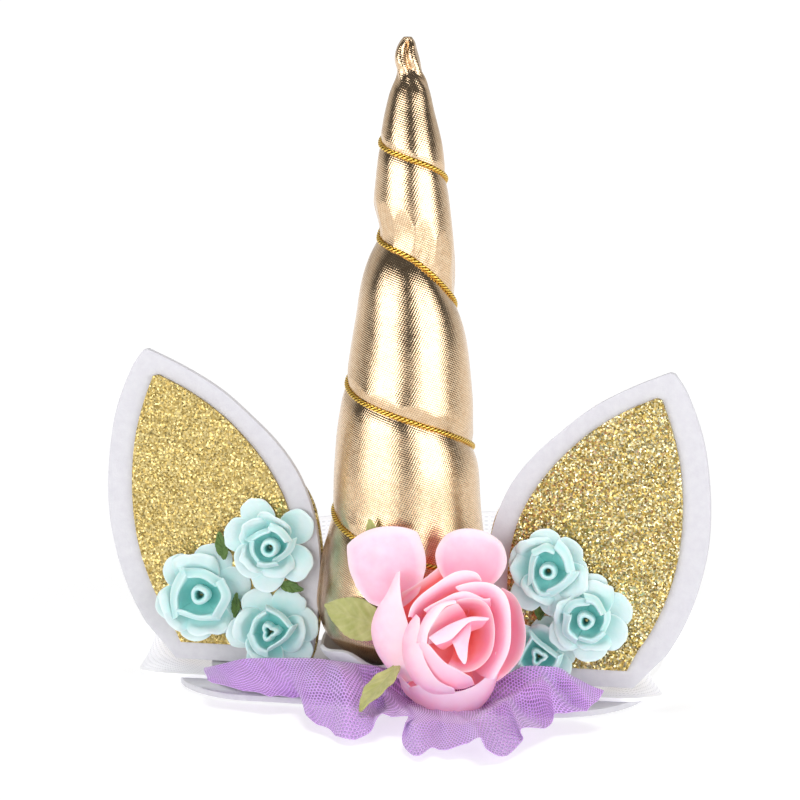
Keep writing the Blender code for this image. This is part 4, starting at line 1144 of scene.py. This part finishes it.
def along_line(base, tip, facing, share, aside, outward):
    """Places on a piece that runs from base to tip and faces that way: at these shares of its length, this
    far to its side and this far out of it."""
    run = Vector(tip) - Vector(base)
    across = run.cross(Vector(facing)).normalized()
    out = across.cross(run).normalized()
    places = np.array(base) + np.outer(share, np.array(run)) + np.outer(aside, np.array(across))
    return places + np.outer(outward, np.array(out))


for name, base, tip, width, bulge, facing, roundness, tone in BACK_PETALS:
    sheet, s, t = grid(f"{name}_silk", 22, 22)
    x, y = s * np.sqrt(1 - roundness * t * t / 2), t * np.sqrt(1 - s * s / 2)
    share = (y + 1) / 2
    aside = x * width / 2 * (0.55 + 0.45 * np.sin(np.minimum(1, 1.6 * share) * math.pi / 2))
    edge = np.maximum(np.abs(s), np.abs(t))
    crown = bulge * (1 - edge**2) - 0.9 * np.clip((edge - 0.8) / 0.2, 0, 1) ** 2 * (share > 0.4)
    crown += 0.35 * np.sin(x * 3.4 + 1) * share
    move_points(sheet, along_line(base, tip, facing, share, aside, crown))
    lay_pattern(sheet, edge, tone + (0.95 - tone) * share)
    give_wall(sheet, 0.28, smooth=1)
    settle(sheet, pink_silk, "pink_silk", name)


# Leaves. Olive leaves of starched cloth, pressed with a midrib and veins and cut with small teeth, behind and
# under the pink rose. Under the small roses a few dark green slips of the same cloth show.

leaf_veins, start, end = shader_group("leaf_veins", ("Vector",), ("Veins", "Mottle"))
xy = node(leaf_veins, "SeparateXYZ", {0: start[0]}).outputs
off = maths(leaf_veins, "ABSOLUTE", maths(leaf_veins, "SUBTRACT", xy[0], 0.5))
slant = maths(leaf_veins, "SUBTRACT", xy[1], maths(leaf_veins, "MULTIPLY", off, 0.55))
wave = maths(leaf_veins, "SINE", maths(leaf_veins, "MULTIPLY", slant, 24.0))
side_veins = maths(leaf_veins, "POWER", maths(leaf_veins, "ABSOLUTE", wave), 6.0)
rib = node(leaf_veins, "MapRange", {0: off, 1: 0.0, 2: 0.05, 3: 1.0, 4: 0.0}).outputs[0]
mottle = node(leaf_veins, "TexNoise", {0: object_place(leaf_veins), "Scale": 420.0, "Detail": 4.0}).outputs[0]
veins = maths(leaf_veins, "MAXIMUM", rib, maths(leaf_veins, "MULTIPLY", side_veins, 0.6))
leaf_veins.links.new(veins, end[0])
leaf_veins.links.new(mottle, end[1])


def leaf_finish(name, low, high, vein):
    material, tree, shader = finish_of(name, Roughness=0.7, Sheen_Weight=0.2)
    veins = node(tree, "Group", {0: own_pattern(tree)}, node_tree=leaf_veins).outputs
    colour = ramp(tree, veins[1], ((0.3, low), (0.7, high)))
    shaded = blend_colours(tree, maths(tree, "MULTIPLY", veins[0], 0.3), colour, (*vein, 1))
    height = maths(tree, "SUBTRACT", maths(tree, "MULTIPLY", veins[1], 0.5), veins[0])
    feed(tree, shader, Base_Color=shaded, Normal=bumped(tree, height, 0.5, 0.0002))
    return material


olive_leaf = leaf_finish("olive_leaf", (0.36, 0.38, 0.10), (0.52, 0.52, 0.20), (0.60, 0.58, 0.30))
dark_leaf = leaf_finish("dark_leaf", (0.05, 0.12, 0.02), (0.14, 0.24, 0.05), (0.20, 0.30, 0.10))
LEAF_FOLD = 0.5
SPRIG_LIFT = 0.85
LEAVES = (
    # name, base, tip, width, bulge, and the way it faces
    ("leaf_left", (2.2, -20.0, 17.0), (-14.4, -13.6, 20.0), 8.6, 1.7, (-0.36, -1.0, 0.1)),
    ("leaf_up", (-1.0, -18.5, 27.0), (-3.8, -17.6, 39.8), 5.0, 0.0, (-0.15, -1.0, 0.0)),
    ("leaf_low", (4.4, -25.6, 11.2), (0.0, -42.0, 5.0), 5.6, 0.6, (-0.3, -0.5, 1.0)),
)
SPRIGS = (
    # name, side, base x and height, tip x and height, width
    ("sprig_left_inner", "left", (-26.4, 22.6), (-20.8, 21.6), 2.4),
    ("sprig_left_outer", "left", (-38.2, 27.4), (-39.4, 33.4), 2.8),
    ("sprig_left_mid", "left", (-36.0, 14.8), (-35.6, 20.2), 1.8),
    ("sprig_right", "right", (31.2, 18.6), (31.4, 23.4), 2.2),
)


def leaf(name, base, tip, width, bulge, facing, finish, wall):
    """A pointed leaf, folded along its midrib, with small teeth on its edge."""
    sheet, across, t = grid(f"{name}_cloth", 16, 40)
    along, edge = (t + 1) / 2, np.abs(across)
    half = width / 2 * (0.06 + 0.94 * np.sin(math.pi * along**0.9)) * (1 + 0.05 * np.abs(np.sin(along * 40)))
    crown = bulge * 4 * along * (1 - along) - LEAF_FOLD * np.sin(math.pi * along) * (1 - edge)
    crown += 0.18 * np.sin(along * 22 - 5 * edge) * edge
    move_points(sheet, along_line(base, tip, facing, along, across * half, crown))
    lay_pattern(sheet, (across + 1) / 2, along)
    give_wall(sheet, wall)
    settle(sheet, finish, "olive_leaf", name)


for name, base, tip, width, bulge, facing in LEAVES:
    leaf(name, base, tip, width, bulge, facing, olive_leaf, 0.35)
for name, side, base, tip, width in SPRIGS:
    y = EAR_FRONT[side] - GAP - SPRIG_LIFT
    ends = [(x, y, height) for x, height in (base, tip)]
    leaf(name, *ends, width, 0, (0, -1, 0), dark_leaf, 0.3)
